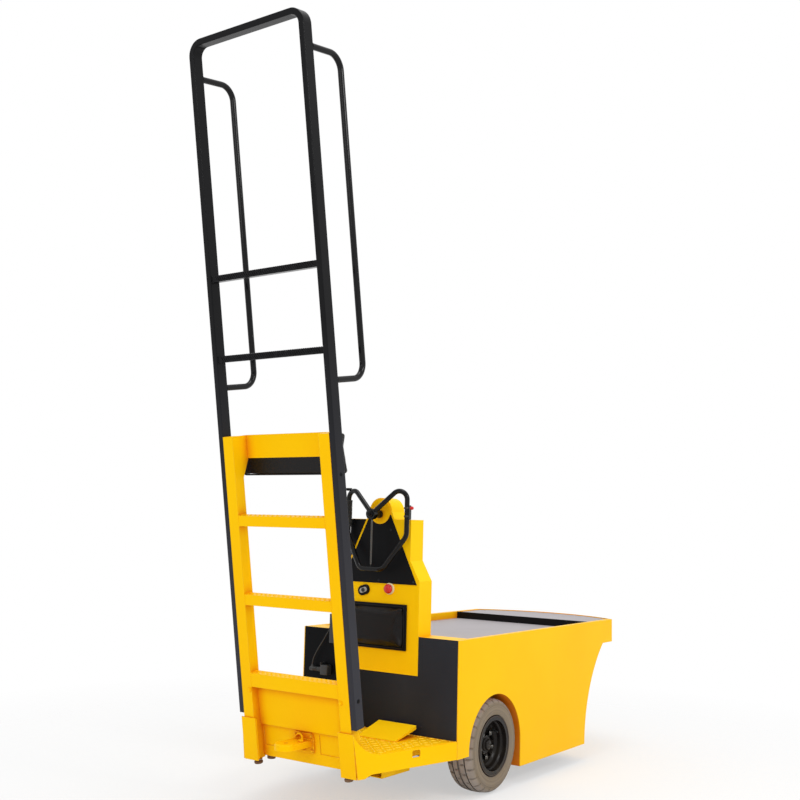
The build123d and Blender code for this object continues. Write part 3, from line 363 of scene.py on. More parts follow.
@once
def tyre_rings(name):
    """Rings of a tyre by its distance from the axle: sidewall, dusty bands and the paler tread."""
    net, given, result = new_group(name, "Tread Band Grime", axle_x=0.0, axle_z=0.2)
    place = net.place()
    parts = net.node("ShaderNodeSeparateXYZ", {0: place}).outputs
    across = net.math("SUBTRACT", parts["X"], given["Axle X"], clamp=False)
    above = net.math("SUBTRACT", parts["Z"], given["Axle Z"], clamp=False)
    radius = net.math("SQRT", net.math("ADD", net.times(across, across), net.times(above, above)))
    wobble = net.times(net.noise(place, 14.0, 4.0, 0.6), 0.010)
    net.link(net.ramp(net.math("ADD", radius, wobble), 0.184, 0.201), result["Tread"])
    line = net.add("ShaderNodeCombineXYZ", 0, {"X": radius})
    wave = {"Vector": line, "Scale": 24.0, "Distortion": 1.5, "Detail": 2.0}
    net.link(net.add("ShaderNodeTexWave", "Fac", wave), result["Band"])
    net.link(net.ramp(net.noise(place, 26.0, 6.0, 0.7), 0.40, 0.72), result["Grime"])
    return net.tree


# Finishes. A colour is a property of ChaserFinish, a property with a share of its brightness, or a screen colour.

SHEET = dict(patch=0.6, scuff=0.12, dust=0.06, dust_top=0.26, spec=0.07, tint="yellow")
ENAMEL = dict(edge="black_edge", patch=0.4, scuff=0.25, dust=0.03, dust_top=0.5, spec=0.12)
METAL = dict(scuff=0.4, dust=0.1, metal=1.0)
SKIN = dict(
    edge=None, crease=None, reach=0.05, patch=0.5, scuff=0.2, dust=0.2, dust_top=0.4, spec=0.5, tint=(255, 255, 255),
    metal=0.0, painted_light_ramp=None,
)
# Base colour, shade, roughness, bumps per metre (None for the enamel's peel), strength of the bumps and the rest
SKINS = {
    "yellow_enamel": (
        "yellow", "yellow_shade", 0.36, None, 0.10, dict(SHEET, edge="yellow_edge", crease="yellow_crease")
    ),
    "pressed_yellow": ("yellow", "yellow_shade", 0.36, None, 0.10, SHEET),
    # The console's crease colour is painted shade in its corners and folds
    "console_yellow": (
        (255, 207, 14), "yellow", 0.36, None, 0.10,
        dict(SHEET, edge="yellow_edge", patch=0.5, crease="yellow_shade", reach=0.03),
    ),
    "tread_yellow": ((255, 214, 70), "yellow", 0.34, None, 0.10, dict(scuff=0.4, dust=0.0, spec=0.12, tint="yellow")),
    # Painted shade: the arches' yellow sheet in the orange-brown it shows in shade
    "arch_enamel": (
        "arch", ("arch", 0.6), 0.5, None, 0.15, dict(patch=0.6, scuff=0.3, dust=0.25, spec=0.20, tint="arch")
    ),
    "black_enamel": ("black", ("black", 1.6), 0.22, None, 0.10, ENAMEL),
    # Painted light: the posts turn paler slate towards the bottom
    "post_black": ("black", ("black", 1.6), 0.22, None, 0.10, dict(ENAMEL, painted_light_ramp=("Z", 1.9, 0.7, "slate"))),
    "gloss_black": (("black", 0.7), ("black", 1.4), 0.09, None, 0.04, dict(patch=0.4, dust=0.0, spec=0.22)),
    # Painted shade: the wall darkens towards the left, behind the tower, along Y
    "wall_black": (
        "wall", ("wall", 1.6), 0.50, 340.0, 0.14,
        dict(edge="black_edge", scuff=0.3, dust=0.03, dust_top=0.5, spec=0.08, painted_light_ramp=("Y", -0.15, 0.25, ("wall", 0.12))),
    ),
    # Deep black of the dash, darkened below the wall's black partly as painted shade; the knee board, key bezel and
    # post screws share it
    "dash_black": (("wall", 0.12), ("wall", 0.25), 0.45, 420.0, 0.10, dict(edge="black_edge", dust=0.0, spec=0.10)),
    "deck_coating": ("deck", ("deck", 0.82), 0.55, 520.0, 0.25, dict(patch=0.4, scuff=0.45, dust=0.0, spec=0.25)),
    "chassis_black": (("wall", 0.5), "wall", 0.6, 300.0, 0.2, dict(scuff=0.4, dust=0.5, dust_top=0.5)),
    # The rims' edge colours are pale for rubbed edges and painted highlight
    "rim_black": (
        "black", (40, 33, 30), 0.20, 260.0, 0.12, dict(edge=(84, 74, 66), patch=0.6, scuff=0.30, dust=0.08, spec=0.16)
    ),
    "rim_brown": (
        (60, 49, 45), (42, 35, 32), 0.42, 260.0, 0.15,
        dict(edge=(98, 84, 74), patch=0.7, scuff=0.4, dust=0.15, spec=0.15),
    ),
    "black_rubber": (("wall", 0.4), "wall", 0.7, 480.0, 0.3, dict(scuff=0.3, dust=0.1, spec=0.25)),
    "brown_rubber": ("foot", ("foot", 0.5), 0.7, 480.0, 0.3, dict(scuff=0.5, dust=0.3)),
    "black_plastic": (("wall", 0.4), ("wall", 0.8), 0.34, 900.0, 0.25, dict(scuff=0.15, dust=0.0, spec=0.12)),
    "red_plastic": ("red", ("red", 0.7), 0.28, 300.0, 0.05, dict(patch=0.3, scuff=0.1, dust=0.0, spec=0.30)),
    "cream_plastic": ("cream", ("cream", 0.85), 0.4, 500.0, 0.08, dict(patch=0.3, dust=0.0)),
    "bright_steel": ("steel", ("steel", 0.6), 0.30, 700.0, 0.15, METAL),
    "dark_steel": (("steel", 0.26), ("steel", 0.12), 0.20, 700.0, 0.15, METAL),
    "cord_sheath": (("black", 1.3), ("black", 2.4), 0.36, 700.0, 0.15, dict(dust=0.0)),
}


# Width, break-up and share of the edge colour: rubbed edges with painted highlight
EDGE_WIDTH, EDGE_BREAKS, EDGE_SHARE = 0.0035, 55.0, 0.40
EDGE_ROUNDING = 0.0022
PEEL_DEPTH = 0.0006


def tone(spec):
    """Colour with full alpha."""
    if len(spec) == 3 and not isinstance(spec, str):
        return (*linear(*spec), 1.0)
    name, share = (spec, 1.0) if isinstance(spec, str) else spec
    return (*(level * share for level in getattr(bpy.context.scene.chaser_finish, name)), 1.0)


def new_material(name, **constants):
    """Material with a Principled shader whose plain sockets are set; returns it with its net and shader."""
    made = bpy.data.materials.new(name)
    made.use_nodes = True
    shader = made.node_tree.nodes["Principled BSDF"]
    for key, value in constants.items():
        shader.inputs[titled(key)].default_value = value
    return made, Net(made.node_tree), shader


def skin_material(name):
    """Material on the shared skin, as its row of SKINS says."""
    base, shade, roughness, peel, strength, rest = SKINS[name]
    row = {**SKIN, **rest}
    made, net, shader = new_material(
        name, specular_ior_level=row["spec"], specular_tint=tone(row["tint"]), metallic=row["metal"]
    )
    skin = net.group(
        paint_skin(), color=tone(base), shade=tone(shade), dust=tone("dust"), roughness=roughness, patch=row["patch"],
        scuff=row["scuff"], dust_amount=row["dust"], dust_top=row["dust_top"],
        peel_scale=peel or bpy.context.scene.chaser_finish.peel,
    )
    shown = skin["Color"]
    relief = net.bump(skin["Height"], strength, PEEL_DEPTH)
    # Painted shade: corners and folds darkened by the ambient-occlusion crease mask
    if row["crease"]:
        shown = net.mix(net.group(crease_grime(), reach=row["reach"])["Mask"], shown, tone(row["crease"]))
    # Edges: paler colour for rubbing and painted highlight, and a rounded normal
    if row["edge"]:
        worn_and_lit = net.group(edge_wear(), width=EDGE_WIDTH, broken=EDGE_BREAKS)["Mask"]
        shown = net.mix(net.times(worn_and_lit, EDGE_SHARE), shown, tone(row["edge"]))
        rounded = net.add("ShaderNodeBevel", "Normal", {"Radius": EDGE_ROUNDING}, samples=4)
        net.link(rounded, relief.inputs["Normal"])
    # Painted light ramp along an axis: painted shade darkening the wall to the left and painted light paling the ladder
    # posts towards the bottom
    if row["painted_light_ramp"]:
        axis, start, end, far = row["painted_light_ramp"]
        along = net.add("ShaderNodeSeparateXYZ", axis, {0: net.place()})
        shown = net.mix(net.ramp(along, start, end), shown, tone(far))
    net.link(shown, shader.inputs["Base Color"])
    net.link(skin["Roughness"], shader.inputs["Roughness"])
    net.link(relief.outputs["Normal"], shader.inputs["Normal"])
    return made


def vinyl_cover(name):
    """Grained vinyl with darker creases."""
    made, net, shader = new_material(name, roughness=0.22, specular_ior_level=0.18)
    grain = net.group(vinyl_grain(), cell_scale=420.0)
    shown = net.mix(grain["Crease"], tone(("vinyl", 0.5)), tone("vinyl"))
    net.link(shown, shader.inputs["Base Color"])
    net.link(net.bump(grain["Height"], 0.40, 0.0010).outputs["Normal"], shader.inputs["Normal"])
    return made


def tyre_rubber(name):
    """Dusty rubber with rings about an axle."""
    axle = FRONT_AXLE if name.startswith("front") else REAR_AXLE
    made, net, shader = new_material(name, roughness=0.85, specular_ior_level=0.20)
    rings = net.group(tyre_rings(), axle_x=axle.x, axle_z=axle.z)
    shown = net.mix(net.times(rings["Band"], 0.35), tone("tyre"), tone(("tyre", 0.66)))
    shown = net.mix(rings["Tread"], shown, tone("tread"))
    shown = net.mix(net.times(rings["Grime"], 0.45), shown, tone(("tread", 0.6)))
    # Painted shade: slits and folds of the tyre darkened to near black by the crease mask
    shown = net.mix(net.group(crease_grime(), reach=0.012)["Mask"], shown, tone(("tread", 0.12)))
    net.link(shown, shader.inputs["Base Color"])
    relief = net.bump(net.noise(net.place(), 380.0, 3.0), 0.4, 0.0008)
    net.link(relief.outputs["Normal"], shader.inputs["Normal"])
    return made


OTHER_FINISHES = {"vinyl_cover": vinyl_cover, "rear_tyre_rubber": tyre_rubber, "front_tyre_rubber": tyre_rubber}


def finish(name):
    """Material of a name, made at its first use."""
    return bpy.data.materials.get(name) or OTHER_FINISHES.get(name, skin_material)(name)


NODE_FINISHES = {
    "yellow_enamel": (
        "side_panels", "front_fascia", "front_bumper", "deck_rim", "column_boss", "platform_sides", "platform_floor",
        "platform_rails", "tower_stiles", "tower_rungs", "rear_panel", "back_plate", "tow_hitch",
    ),
    "console_yellow": ("console", "foot_pedal", "pedal_housing"),
    "arch_enamel": ("wheel_arches",),
    "black_enamel": ("deck_riser", "ladder_rungs", "front_fork"),
    "post_black": ("ladder_loop",),
    "gloss_black": ("handrails", "handlebar"),
    "wall_black": ("rear_wall", "battery_pack"),
    "dash_black": ("dash_panel", "shoulder_panel"),
    "rim_black": ("rear_wheel_left", "rear_wheel_right", "front_wheel"),
    "deck_coating": ("load_deck", "front_deck"),
    "chassis_black": ("chassis_frame", "drive_axle"),
    "black_plastic": ("key_switch", "thumb_switch", "cord_box", "cord_plug", "wall_socket"),
    "vinyl_cover": ("backrest_pad", "knee_pad"),
    "black_rubber": ("throttle_grip", "cord_gland"),
    "brown_rubber": ("base_feet",),
    "rear_tyre_rubber": ("rear_tyre_left", "rear_tyre_right"),
    "front_tyre_rubber": ("front_tyre",),
    "red_plastic": ("stop_button",),
    "cord_sheath": ("charger_cord",),
}


class CHASER_OT_finishes(Operator):
    """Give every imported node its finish"""

    bl_idname = "chaser.finishes"
    bl_label = "Finishes"

    def execute(self, context):
        for look, names in NODE_FINISHES.items():
            for name in names:
                mesh = frame["nodes"][name].data
                mesh.materials.clear()
                mesh.materials.append(finish(look))
        return {"FINISHED"}


# Mesh building

def mesh_of(name, made):
    """Plain mesh of a bmesh, with merged doubles and outward faces."""
    bmesh.ops.remove_doubles(made, verts=made.verts, dist=1e-6)
    bmesh.ops.recalc_face_normals(made, faces=made.faces)
    mesh = bpy.data.meshes.new(name)
    made.to_mesh(mesh)
    made.free()
    return mesh


def settled(name, made, look, slot, *replaced, body="chassis", sharp=35.0):
    """Object of a mesh or bmesh that rides on a body, with its finish and what it stands for."""
    mesh = mesh_of(name, made) if isinstance(made, bmesh.types.BMesh) else made
    mesh.materials.clear()
    mesh.materials.append(finish(look))
    mesh.polygons.foreach_set("use_smooth", [True] * len(mesh.polygons))
    mesh.set_sharp_from_angle(angle=radians(sharp))
    piece = bpy.data.objects.new(name, mesh)
    bpy.context.scene.collection.objects.link(piece)
    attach(piece, body)
    if replaced:
        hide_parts(*replaced)
    return piece


def evaluated_mesh(holder):
    """New mesh of an object with its modifiers applied."""
    return bpy.data.meshes.new_from_object(holder.evaluated_get(bpy.context.evaluated_depsgraph_get()))


def bridge(made, rows, closed=False):
    """Quads between neighbouring rings of points."""
    for first, second in list(zip(rows, rows[1:])) + ([(rows[-1], rows[0])] if closed else []):
        for index in range(len(first)):
            after = (index + 1) % len(first)
            made.faces.new((first[index], first[after], second[after], second[index]))


def add_turned(made, profile, centre, axis, columns, closed=False, dent=None):
    """Turn (radius, along) points about an axis into a bmesh; dent gives a depth for a row and column."""
    axis = Vector(axis).normalized()
    side = axis.orthogonal().normalized()
    other = axis.cross(side)
    rows = []
    for row, (radius, along) in enumerate(profile):
        ring = []
        for column in range(columns):
            turn = 2 * pi * column / columns
            reach = radius - (dent(row, column) if dent else 0.0)
            way = side * cos(turn) + other * sin(turn)
            ring.append(made.verts.new(Vector(centre) + axis * along + way * reach))
        rows.append(ring)
    bridge(made, rows, closed)
    return made


def turned(*given, **options):
    """New bmesh of one turned shape."""
    return add_turned(bmesh.new(), *given, **options)


def add_block(made, low, high, bevel, basis=None, segments=3):
    """Bevelled block between two corners, in the shared frame or in a basis matrix."""
    verts = bmesh.ops.create_cube(made, size=1.0)["verts"]
    for vert in verts:
        vert.co = Vector(((low[i] + high[i]) / 2 + vert.co[i] * (high[i] - low[i]) for i in range(3)))
    edges = dict.fromkeys(edge for vert in verts for edge in vert.link_edges)
    shaped = bmesh.ops.bevel(
        made, geom=list(edges), offset=bevel, segments=segments, profile=0.5, affect="EDGES", clamp_overlap=True
    )
    if basis:
        verts = {vert for face in shaped["faces"] for vert in face.verts}
        bmesh.ops.transform(made, matrix=basis, verts=list(verts))
    return made


def add_plate(made, outline, basis, height, bevel):
    """Plate with a bevelled rim: an outline in the basis's first two axes, raised along the third."""
    outline = [Vector(place) for place in outline]
    middle = sum(outline, Vector((0.0, 0.0))) / len(outline)
    inner = [place + (middle - place).normalized() * bevel for place in outline]
    rows = [
        [made.verts.new(basis @ Vector((*place, level))) for place in line]
        for line, level in ((outline, 0.0), (outline, height - bevel), (inner, height))
    ]
    bridge(made, rows)
    made.faces.new(rows[-1])
    made.faces.new(list(reversed(rows[0])))
    return made


def tube(points, radius, sides):
    """New bmesh of a closed round tube along points, with a frame carried from point to point."""
    made = bmesh.new()
    rings = []
    side = None
    for index, point in enumerate(points):
        way = (points[(index + 1) % len(points)] - points[index - 1]).normalized()
        side = way.orthogonal() if side is None else side - way * side.dot(way)
        side.normalize()
        other = way.cross(side)
        turns = [2 * pi * k / sides for k in range(sides)]
        rings.append([made.verts.new(point + (side * cos(turn) + other * sin(turn)) * radius) for turn in turns])
    bridge(made, rings, closed=True)
    return made


def nurbs_line(name, route, radius, rings, resolution):
    """Round curve along a route."""
    curve = bpy.data.curves.new(name, "CURVE")
    curve.dimensions = "3D"
    curve.bevel_depth = radius
    curve.bevel_resolution = rings
    curve.use_fill_caps = True
    spline = curve.splines.new("NURBS")
    spline.points.add(len(route) - 1)
    for point, place in zip(spline.points, route):
        point.co = (*place, 1.0)
    spline.order_u = 3
    spline.use_endpoint_u = True
    spline.resolution_u = resolution
    return curve


def stadium(half_length, half_height, steps):
    """Outline of a round-ended bar."""
    points = []
    for centre, start in ((half_length - half_height, -pi / 2), (half_height - half_length, pi / 2)):
        for step in range(steps + 1):
            turn = start + pi * step / steps
            points.append((centre + half_height * cos(turn), half_height * sin(turn)))
    return points


def rounded_rectangle(half_width, half_height, corner, steps=6):
    """Outline of a rectangle with round corners."""
    points = []
    for sx, sy, start in ((1, 1, 0.0), (-1, 1, pi / 2), (-1, -1, pi), (1, -1, 3 * pi / 2)):
        for step in range(steps + 1):
            turn = start + pi / 2 * step / steps
            points.append((
                sx * (half_width - corner) + corner * cos(turn), sy * (half_height - corner) + corner * sin(turn)
            ))
    return points


def facing_basis(place, normal, across):
    """Matrix whose third axis is a face's normal, with its origin at a place."""
    across = (across - normal * across.dot(normal)).normalized()
    return Matrix.Translation(place) @ Matrix((across, normal.cross(across), normal)).transposed().to_4x4()


# Geometry trees

class Growth(Net):
    """Geometry tree with named inputs and a material, which grows a shape on points."""

    def __init__(self, name, **inputs):
        super().__init__(bpy.data.node_groups.new(name, "GeometryNodeTree"))
        sockets = self.tree.interface
        sockets.new_socket("Geometry", in_out="INPUT", socket_type="NodeSocketGeometry")
        for key, default in inputs.items():
            kind = "NodeSocketInt" if isinstance(default, int) else "NodeSocketFloat"
            sockets.new_socket(titled(key), in_out="INPUT", socket_type=kind).default_value = default
        sockets.new_socket("Material", in_out="INPUT", socket_type="NodeSocketMaterial")
        sockets.new_socket("Geometry", in_out="OUTPUT", socket_type="NodeSocketGeometry")
        self.given = self.tree.nodes.new("NodeGroupInput").outputs

    def shape(self, kind, inputs):
        """Mesh of a primitive."""
        return self.add("GeometryNodeMesh" + kind, "Mesh", inputs)

    def scaled(self, mesh, **change):
        """Mesh moved, turned or scaled."""
        return self.add("GeometryNodeTransform", 0, {"Geometry": mesh, **{titled(k): v for k, v in change.items()}})

    def lifted(self, mesh, lift):
        """Mesh lifted along its own third axis."""
        return self.scaled(mesh, translation=self.vector(0.0, 0.0, lift))

    def vector(self, x, y, z):
        """Vector of three values."""
        return self.add("ShaderNodeCombineXYZ", 0, {"X": x, "Y": y, "Z": z})

    def turn(self, label, before=None, **axes):
        """Rotation that points an axis along an attribute of the seed points."""
        way = self.add("GeometryNodeInputNamedAttribute", "Attribute", {"Name": label}, data_type="FLOAT_VECTOR")
        inputs = {"Vector": way, **({"Rotation": before} if before else {})}
        return self.add("FunctionNodeAlignRotationToVector", 0, inputs, **axes)

    def on_facing(self, *meshes):
        """Close with instances whose third axis follows each point's facing and whose first follows its along."""
        both = self.node("GeometryNodeJoinGeometry")
        for mesh in meshes:
            self.link(mesh, both.inputs[0])
        turn = self.turn("facing", self.turn("along", axis="X"), axis="Z", pivot_axis="X")
        return self.close(self.given["Geometry"], both.outputs[0], Rotation=turn)

    def close(self, points, instance, **placing):
        """Tree whose result is the instances on the points, made real and given the material."""
        inputs = {"Points": points, "Instance": instance, **placing}
        real = self.add("GeometryNodeRealizeInstances", 0, {0: self.add("GeometryNodeInstanceOnPoints", 0, inputs)})
        dressed = self.add("GeometryNodeSetMaterial", 0, {"Geometry": real, "Material": self.given["Material"]})
        self.link(dressed, self.tree.nodes.new("NodeGroupOutput").inputs["Geometry"])
        return self.tree


@once
def bolt_heads(name):
    """Hex heads with a chamfered top on round washers."""
    net = Growth(name, radius=0.0085, height=0.006, washer=0.0015)
    radius, height, washer = (net.given[key] for key in ("Radius", "Height", "Washer"))
    plate = net.shape("Cylinder", {"Vertices": 20, "Radius": net.times(radius, 1.35), "Depth": washer})
    head = net.shape("Cylinder", {"Vertices": 6, "Radius": radius, "Depth": height})
    cap = net.shape("Cone", {
        "Vertices": 12, "Radius Bottom": net.times(radius, 0.86), "Radius Top": net.times(radius, 0.62),
        "Depth": net.times(height, 0.25),
    })
    return net.on_facing(
        net.lifted(plate, net.times(washer, 0.5)),
        net.lifted(head, net.math("ADD", washer, net.times(height, 0.5))),
        net.lifted(cap, net.math("ADD", washer, height)),
    )


@once
def dome_screws(name):
    """Low dome heads on a thin rim."""
    net = Growth(name, radius=0.005)
    radius = net.given["Radius"]
    dome = net.shape("UVSphere", {"Segments": 14, "Rings": 8, "Radius": radius})
    rim = {"Vertices": 14, "Radius": net.times(radius, 1.08), "Depth": net.times(radius, 0.30)}
    return net.on_facing(net.scaled(dome, scale=(1.0, 1.0, 0.45)), net.shape("Cylinder", rim))


@once
def pressed_studs(name):
    """Pressed shapes on a face: a flattened round of a given length, width and height."""
    net = Growth(name, length=0.024, width=0.007, height=0.0016)
    dome = net.shape("UVSphere", {"Segments": 10, "Rings": 6, "Radius": 0.5})
    size = net.vector(net.given["Length"], net.given["Width"], net.times(net.given["Height"], 2.0))
    return net.on_facing(net.scaled(dome, scale=size))


@once
def grip_ridges(name):
    """Straight ridges with sloped flanks on a face."""
    net = Growth(name, length=0.03, width=0.003, height=0.0012)
    cone = net.shape("Cone", {"Vertices": 4, "Radius Bottom": 0.70711, "Radius Top": 0.45, "Depth": 1.0})
    square = net.scaled(cone, rotation=(0.0, 0.0, pi / 4))
    size = net.vector(net.given["Length"], net.given["Width"], net.given["Height"])
    return net.on_facing(net.scaled(square, scale=size))


@once
def weld_beads(name):
    """Ripples of weld along lines, each a ball of slightly differing size."""
    net = Growth(name, radius=0.0024, pitch=0.0042, seed=7)
    line = net.add("GeometryNodeMeshToCurve", 0, {"Mesh": net.given["Geometry"]})
    spots = net.add("GeometryNodeResampleCurve", 0, {"Curve": line, "Length": net.given["Pitch"]}, mode="LENGTH")
    ball = net.shape("UVSphere", {"Segments": 8, "Rings": 5, "Radius": net.given["Radius"]})
    spread = {"Min": (0.85, 0.85, 0.85), "Max": (1.15, 1.15, 1.15), "Seed": net.given["Seed"]}
    size = net.add("FunctionNodeRandomValue", "Value", spread, data_type="FLOAT_VECTOR")
    return net.close(spots, ball, Scale=size)


def grown_mesh(name, tree, look, points, edges=(), vectors=None, **values):
    """Plain mesh that a geometry tree grows on points."""
    seed_mesh = bpy.data.meshes.new(name + "_seed")
    seed_mesh.from_pydata([tuple(point) for point in points], list(edges), [])
    for label, rows in (vectors or {}).items():
        layer = seed_mesh.attributes.new(label, "FLOAT_VECTOR", "POINT")
        layer.data.foreach_set("vector", [level for row in rows for level in row])
    seed = bpy.data.objects.new(name + "_seed", seed_mesh)
    bpy.context.scene.collection.objects.link(seed)
    modifier = seed.modifiers.new("grow", "NODES")
    modifier.node_group = tree
    values["material"] = finish(look)
    for item in tree.interface.items_tree:
        if item.in_out == "INPUT" and item.name.lower() in values:
            modifier[item.identifier] = values[item.name.lower()]
    mesh = evaluated_mesh(seed)
    bpy.data.objects.remove(seed)
    bpy.data.meshes.remove(seed_mesh)
    if not mesh.polygons:
        raise RuntimeError(f"{name}: nothing grew on the points")
    mesh.name = name
    return mesh


def grown(name, tree, look, slot, spots, body="chassis", sharp=35.0, **values):
    """Piece that a geometry tree grows on spots, each a point and its facing, with or without an along direction."""
    points, vectors = [], {"facing": [], "along": []}
    for point, facing, *along in spots:
        facing = Vector(facing).normalized()
        along = Vector(along[0]) if along else facing.orthogonal()
        points.append(point)
        vectors["facing"].append(facing)
        vectors["along"].append((along - facing * along.dot(facing)).normalized())
    mesh = grown_mesh(name, tree, look, points, vectors=vectors, **values)
    return settled(name, mesh, look, slot, body=body, sharp=sharp)


# Tyres and wheels. A profile is a list of radii with their places along the axis.

REAR_TYRE_SIDE = (
    (0.1274, 0.0480), (0.1276, 0.0588), (0.1300, 0.0622), (0.1345, 0.0640), (0.1395, 0.0648), (0.1428, 0.0650),
    (0.1438, 0.0660), (0.1462, 0.0662), (0.1472, 0.0654), (0.1540, 0.0662), (0.1610, 0.0669), (0.1670, 0.0670),
    (0.1700, 0.0667), (0.1708, 0.0656), (0.1726, 0.0655), (0.1736, 0.0662), (0.1780, 0.0652), (0.1830, 0.0632),
    (0.1876, 0.0600), (0.1912, 0.0556), (0.1938, 0.0506), (0.1957, 0.0450), (0.1969, 0.0388), (0.1976, 0.0335),
    (0.1932, 0.0324), (0.1930, 0.0284), (0.1983, 0.0273), (0.1991, 0.0205), (0.1996, 0.0125), (0.1998, 0.0056),
    (0.1952, 0.0046), (0.1951, 0.0016),
)
# Rows of the profile that are slit, with the columns of each lug
SLITS = ((range(17, 23), range(0, 2)), (range(27, 29), range(6, 8)))
FRONT_TYRE_SQUEEZE = 0.052 / 0.067


class CHASER_OT_tyres(Operator):
    """Mould the tyres with their shoulder slits, ribs and sidewall rings"""

    bl_idname = "chaser.tyres"
    bl_label = "Tyres"

    def execute(self, context):
        sizes = context.scene.chaser_sizes
        step = sizes.tyre_columns
        last = 2 * len(REAR_TYRE_SIDE) - 1

        def dent(row, column):
            far = row > last - row
            near = last - row if far else row
            phase = (column + (step // 2 if far else 0)) % step
            return sizes.slit_depth if any(near in rows and phase in columns for rows, columns in SLITS) else 0.0

        for word, centre, squeeze, body, node in (
            ("left", wheel_centre(1.0), 1.0, "rear_left_roller", "rear_tyre_left"),
            ("right", wheel_centre(-1.0), 1.0, "rear_right_roller", "rear_tyre_right"),
            ("front", FRONT_AXLE, FRONT_TYRE_SQUEEZE, "front_roller", "front_tyre"),
        ):
            side = [(radius, along * squeeze) for radius, along in REAR_TYRE_SIDE]
            profile = side + [(radius, -along) for radius, along in reversed(side)]
            made = turned(profile, centre, LEFT, step * sizes.tyre_lugs, closed=True, dent=dent)
            look = "front_tyre_rubber" if word == "front" else "rear_tyre_rubber"
            settled(f"tyre_{word}", made, look, "tyre_rubber", node, body=body, sharp=32.0)
        return {"FINISHED"}


WHEEL_LUGS = 5
LUG_CIRCLE = 0.0545
DISC_FACE = 0.0100
VALVE_TURN = 0.95
RIVET_TURNS = (0.0, 2.1, 4.2)
RIM_RING = (
    (0.1268, 0.0560), (0.1268, 0.0648), (0.1256, 0.0662), (0.1236, 0.0662), (0.1222, 0.0648), (0.1206, 0.0628),
    (0.1140, 0.0612), (0.1090, 0.0590), (0.1072, 0.0560),
)
RIM_DISH = (
    (0.1100, 0.0565), (0.1072, 0.0562), (0.1062, 0.0440), (0.1040, 0.0400), (0.1010, 0.0385), (0.0990, 0.0350),
    (0.0984, 0.0240), (0.0960, 0.0180), (0.0900, 0.0130), (0.0870, 0.0100), (0.1100, 0.0100),
)
HUB_CAP = (
    (0.0000, 0.0400), (0.0120, 0.0398), (0.0190, 0.0385), (0.0222, 0.0350), (0.0230, 0.0290), (0.0268, 0.0280),
    (0.0290, 0.0255), (0.0292, 0.0215), (0.0000, 0.0215),
)
HUB_RIVET = ((0.0, 0.003), (0.0018, 0.003), (0.0022, 0.0022), (0.0022, -0.002), (0.0, -0.002))
VALVE = (
    (0.0, 0.034), (0.0030, 0.034), (0.0036, 0.032), (0.0036, 0.022), (0.0030, 0.021), (0.0030, 0.012),
    (0.0052, 0.008), (0.0060, 0.000), (0.0060, -0.004), (0.0, -0.004),
)


def rolled(turn, x, z):
    """Vector across an axle, rolled about it."""
    return Matrix.Rotation(turn, 3, "Y") @ Vector((x, 0.0, z))


class CHASER_OT_wheels(Operator):
    """Dress the rear wheels with stepped rims, hub caps, valves and nuts"""

    bl_idname = "chaser.wheels"
    bl_label = "Wheel trim"

    def execute(self, context):
        sizes = context.scene.chaser_sizes
        for word, side in (("left", 1.0), ("right", -1.0)):
            body = f"rear_{word}_roller"
            centre, out = wheel_centre(side), LEFT * side
            for name, profile, look in (("rim_ring", RIM_RING, "rim_brown"), ("rim_dish", RIM_DISH, "rim_black")):
                made = turned(profile, centre, out, 96, closed=True)
                settled(f"{name}_{word}", made, look, "black_paint", body=body)
            made = turned(HUB_CAP, centre, out, 48)
            for turn in RIVET_TURNS:
                add_turned(made, HUB_RIVET, centre + out * 0.0395 + rolled(turn, 0.0085, 0.0), out, 12)
            settled(f"hub_cap_{word}", made, "rim_black", "black_paint", body=body)
            root = centre + rolled(VALVE_TURN, 0.0, 0.0905) + out * DISC_FACE
            made = turned(VALVE, root, out + rolled(VALVE_TURN, 0.0, -0.35), 16)
            settled(f"valve_{word}", made, "black_rubber", "black_rubber", body=body)
            arms = [rolled(pi * (1 + 2 * count) / WHEEL_LUGS, 0.0, LUG_CIRCLE) for count in range(WHEEL_LUGS)]
            grown(
                f"wheel_nuts_{word}", bolt_heads(), "dark_steel", "black_paint",
                [(centre + arm + out * (DISC_FACE - 0.0003), out, arm) for arm in arms], body=body,
                radius=sizes.nut_radius, height=0.013, washer=0.003,
            )
        grown(
            "axle_nuts", bolt_heads(), "bright_steel", "black_paint",
            [(FRONT_AXLE + out * 0.0868, out, UP) for out in (LEFT, -LEFT)], body="steering_fork",
            radius=0.018, height=0.014, washer=0.004,
        )
        return {"FINISHED"}


# Pads

SWELL_FRAMES = 20


def swell(pad, held, cap):
    """Fill a pad with pressure by a cloth simulation, with the held points pinned and the swelling capped."""
    scene = bpy.context.scene
    rest = [vert.co.copy() for vert in pad.data.vertices]
    pins = pad.vertex_groups.new(name="held")
    pins.add([index for index, place in enumerate(rest) if held(place)], 1.0, "REPLACE")
    cloth = pad.modifiers.new("swell", "CLOTH")
    cloth.settings.quality = 5
    cloth.settings.mass = 0.3
    cloth.settings.use_pressure = True
    cloth.settings.uniform_pressure_force = 4.0
    cloth.settings.effector_weights.gravity = 0.0
    cloth.settings.vertex_group_mass = "held"
    cloth.point_cache.frame_end = SWELL_FRAMES
    for count in range(1, SWELL_FRAMES + 1):
        scene.frame_set(count)
    swollen = evaluated_mesh(pad)
    for index, place in enumerate(rest):
        move = swollen.vertices[index].co - place
        if move.length > cap:
            move *= cap / move.length
        pad.data.vertices[index].co = place + move
    pad.modifiers.clear()
    pad.vertex_groups.clear()
    bpy.data.meshes.remove(swollen)
    scene.frame_set(1)


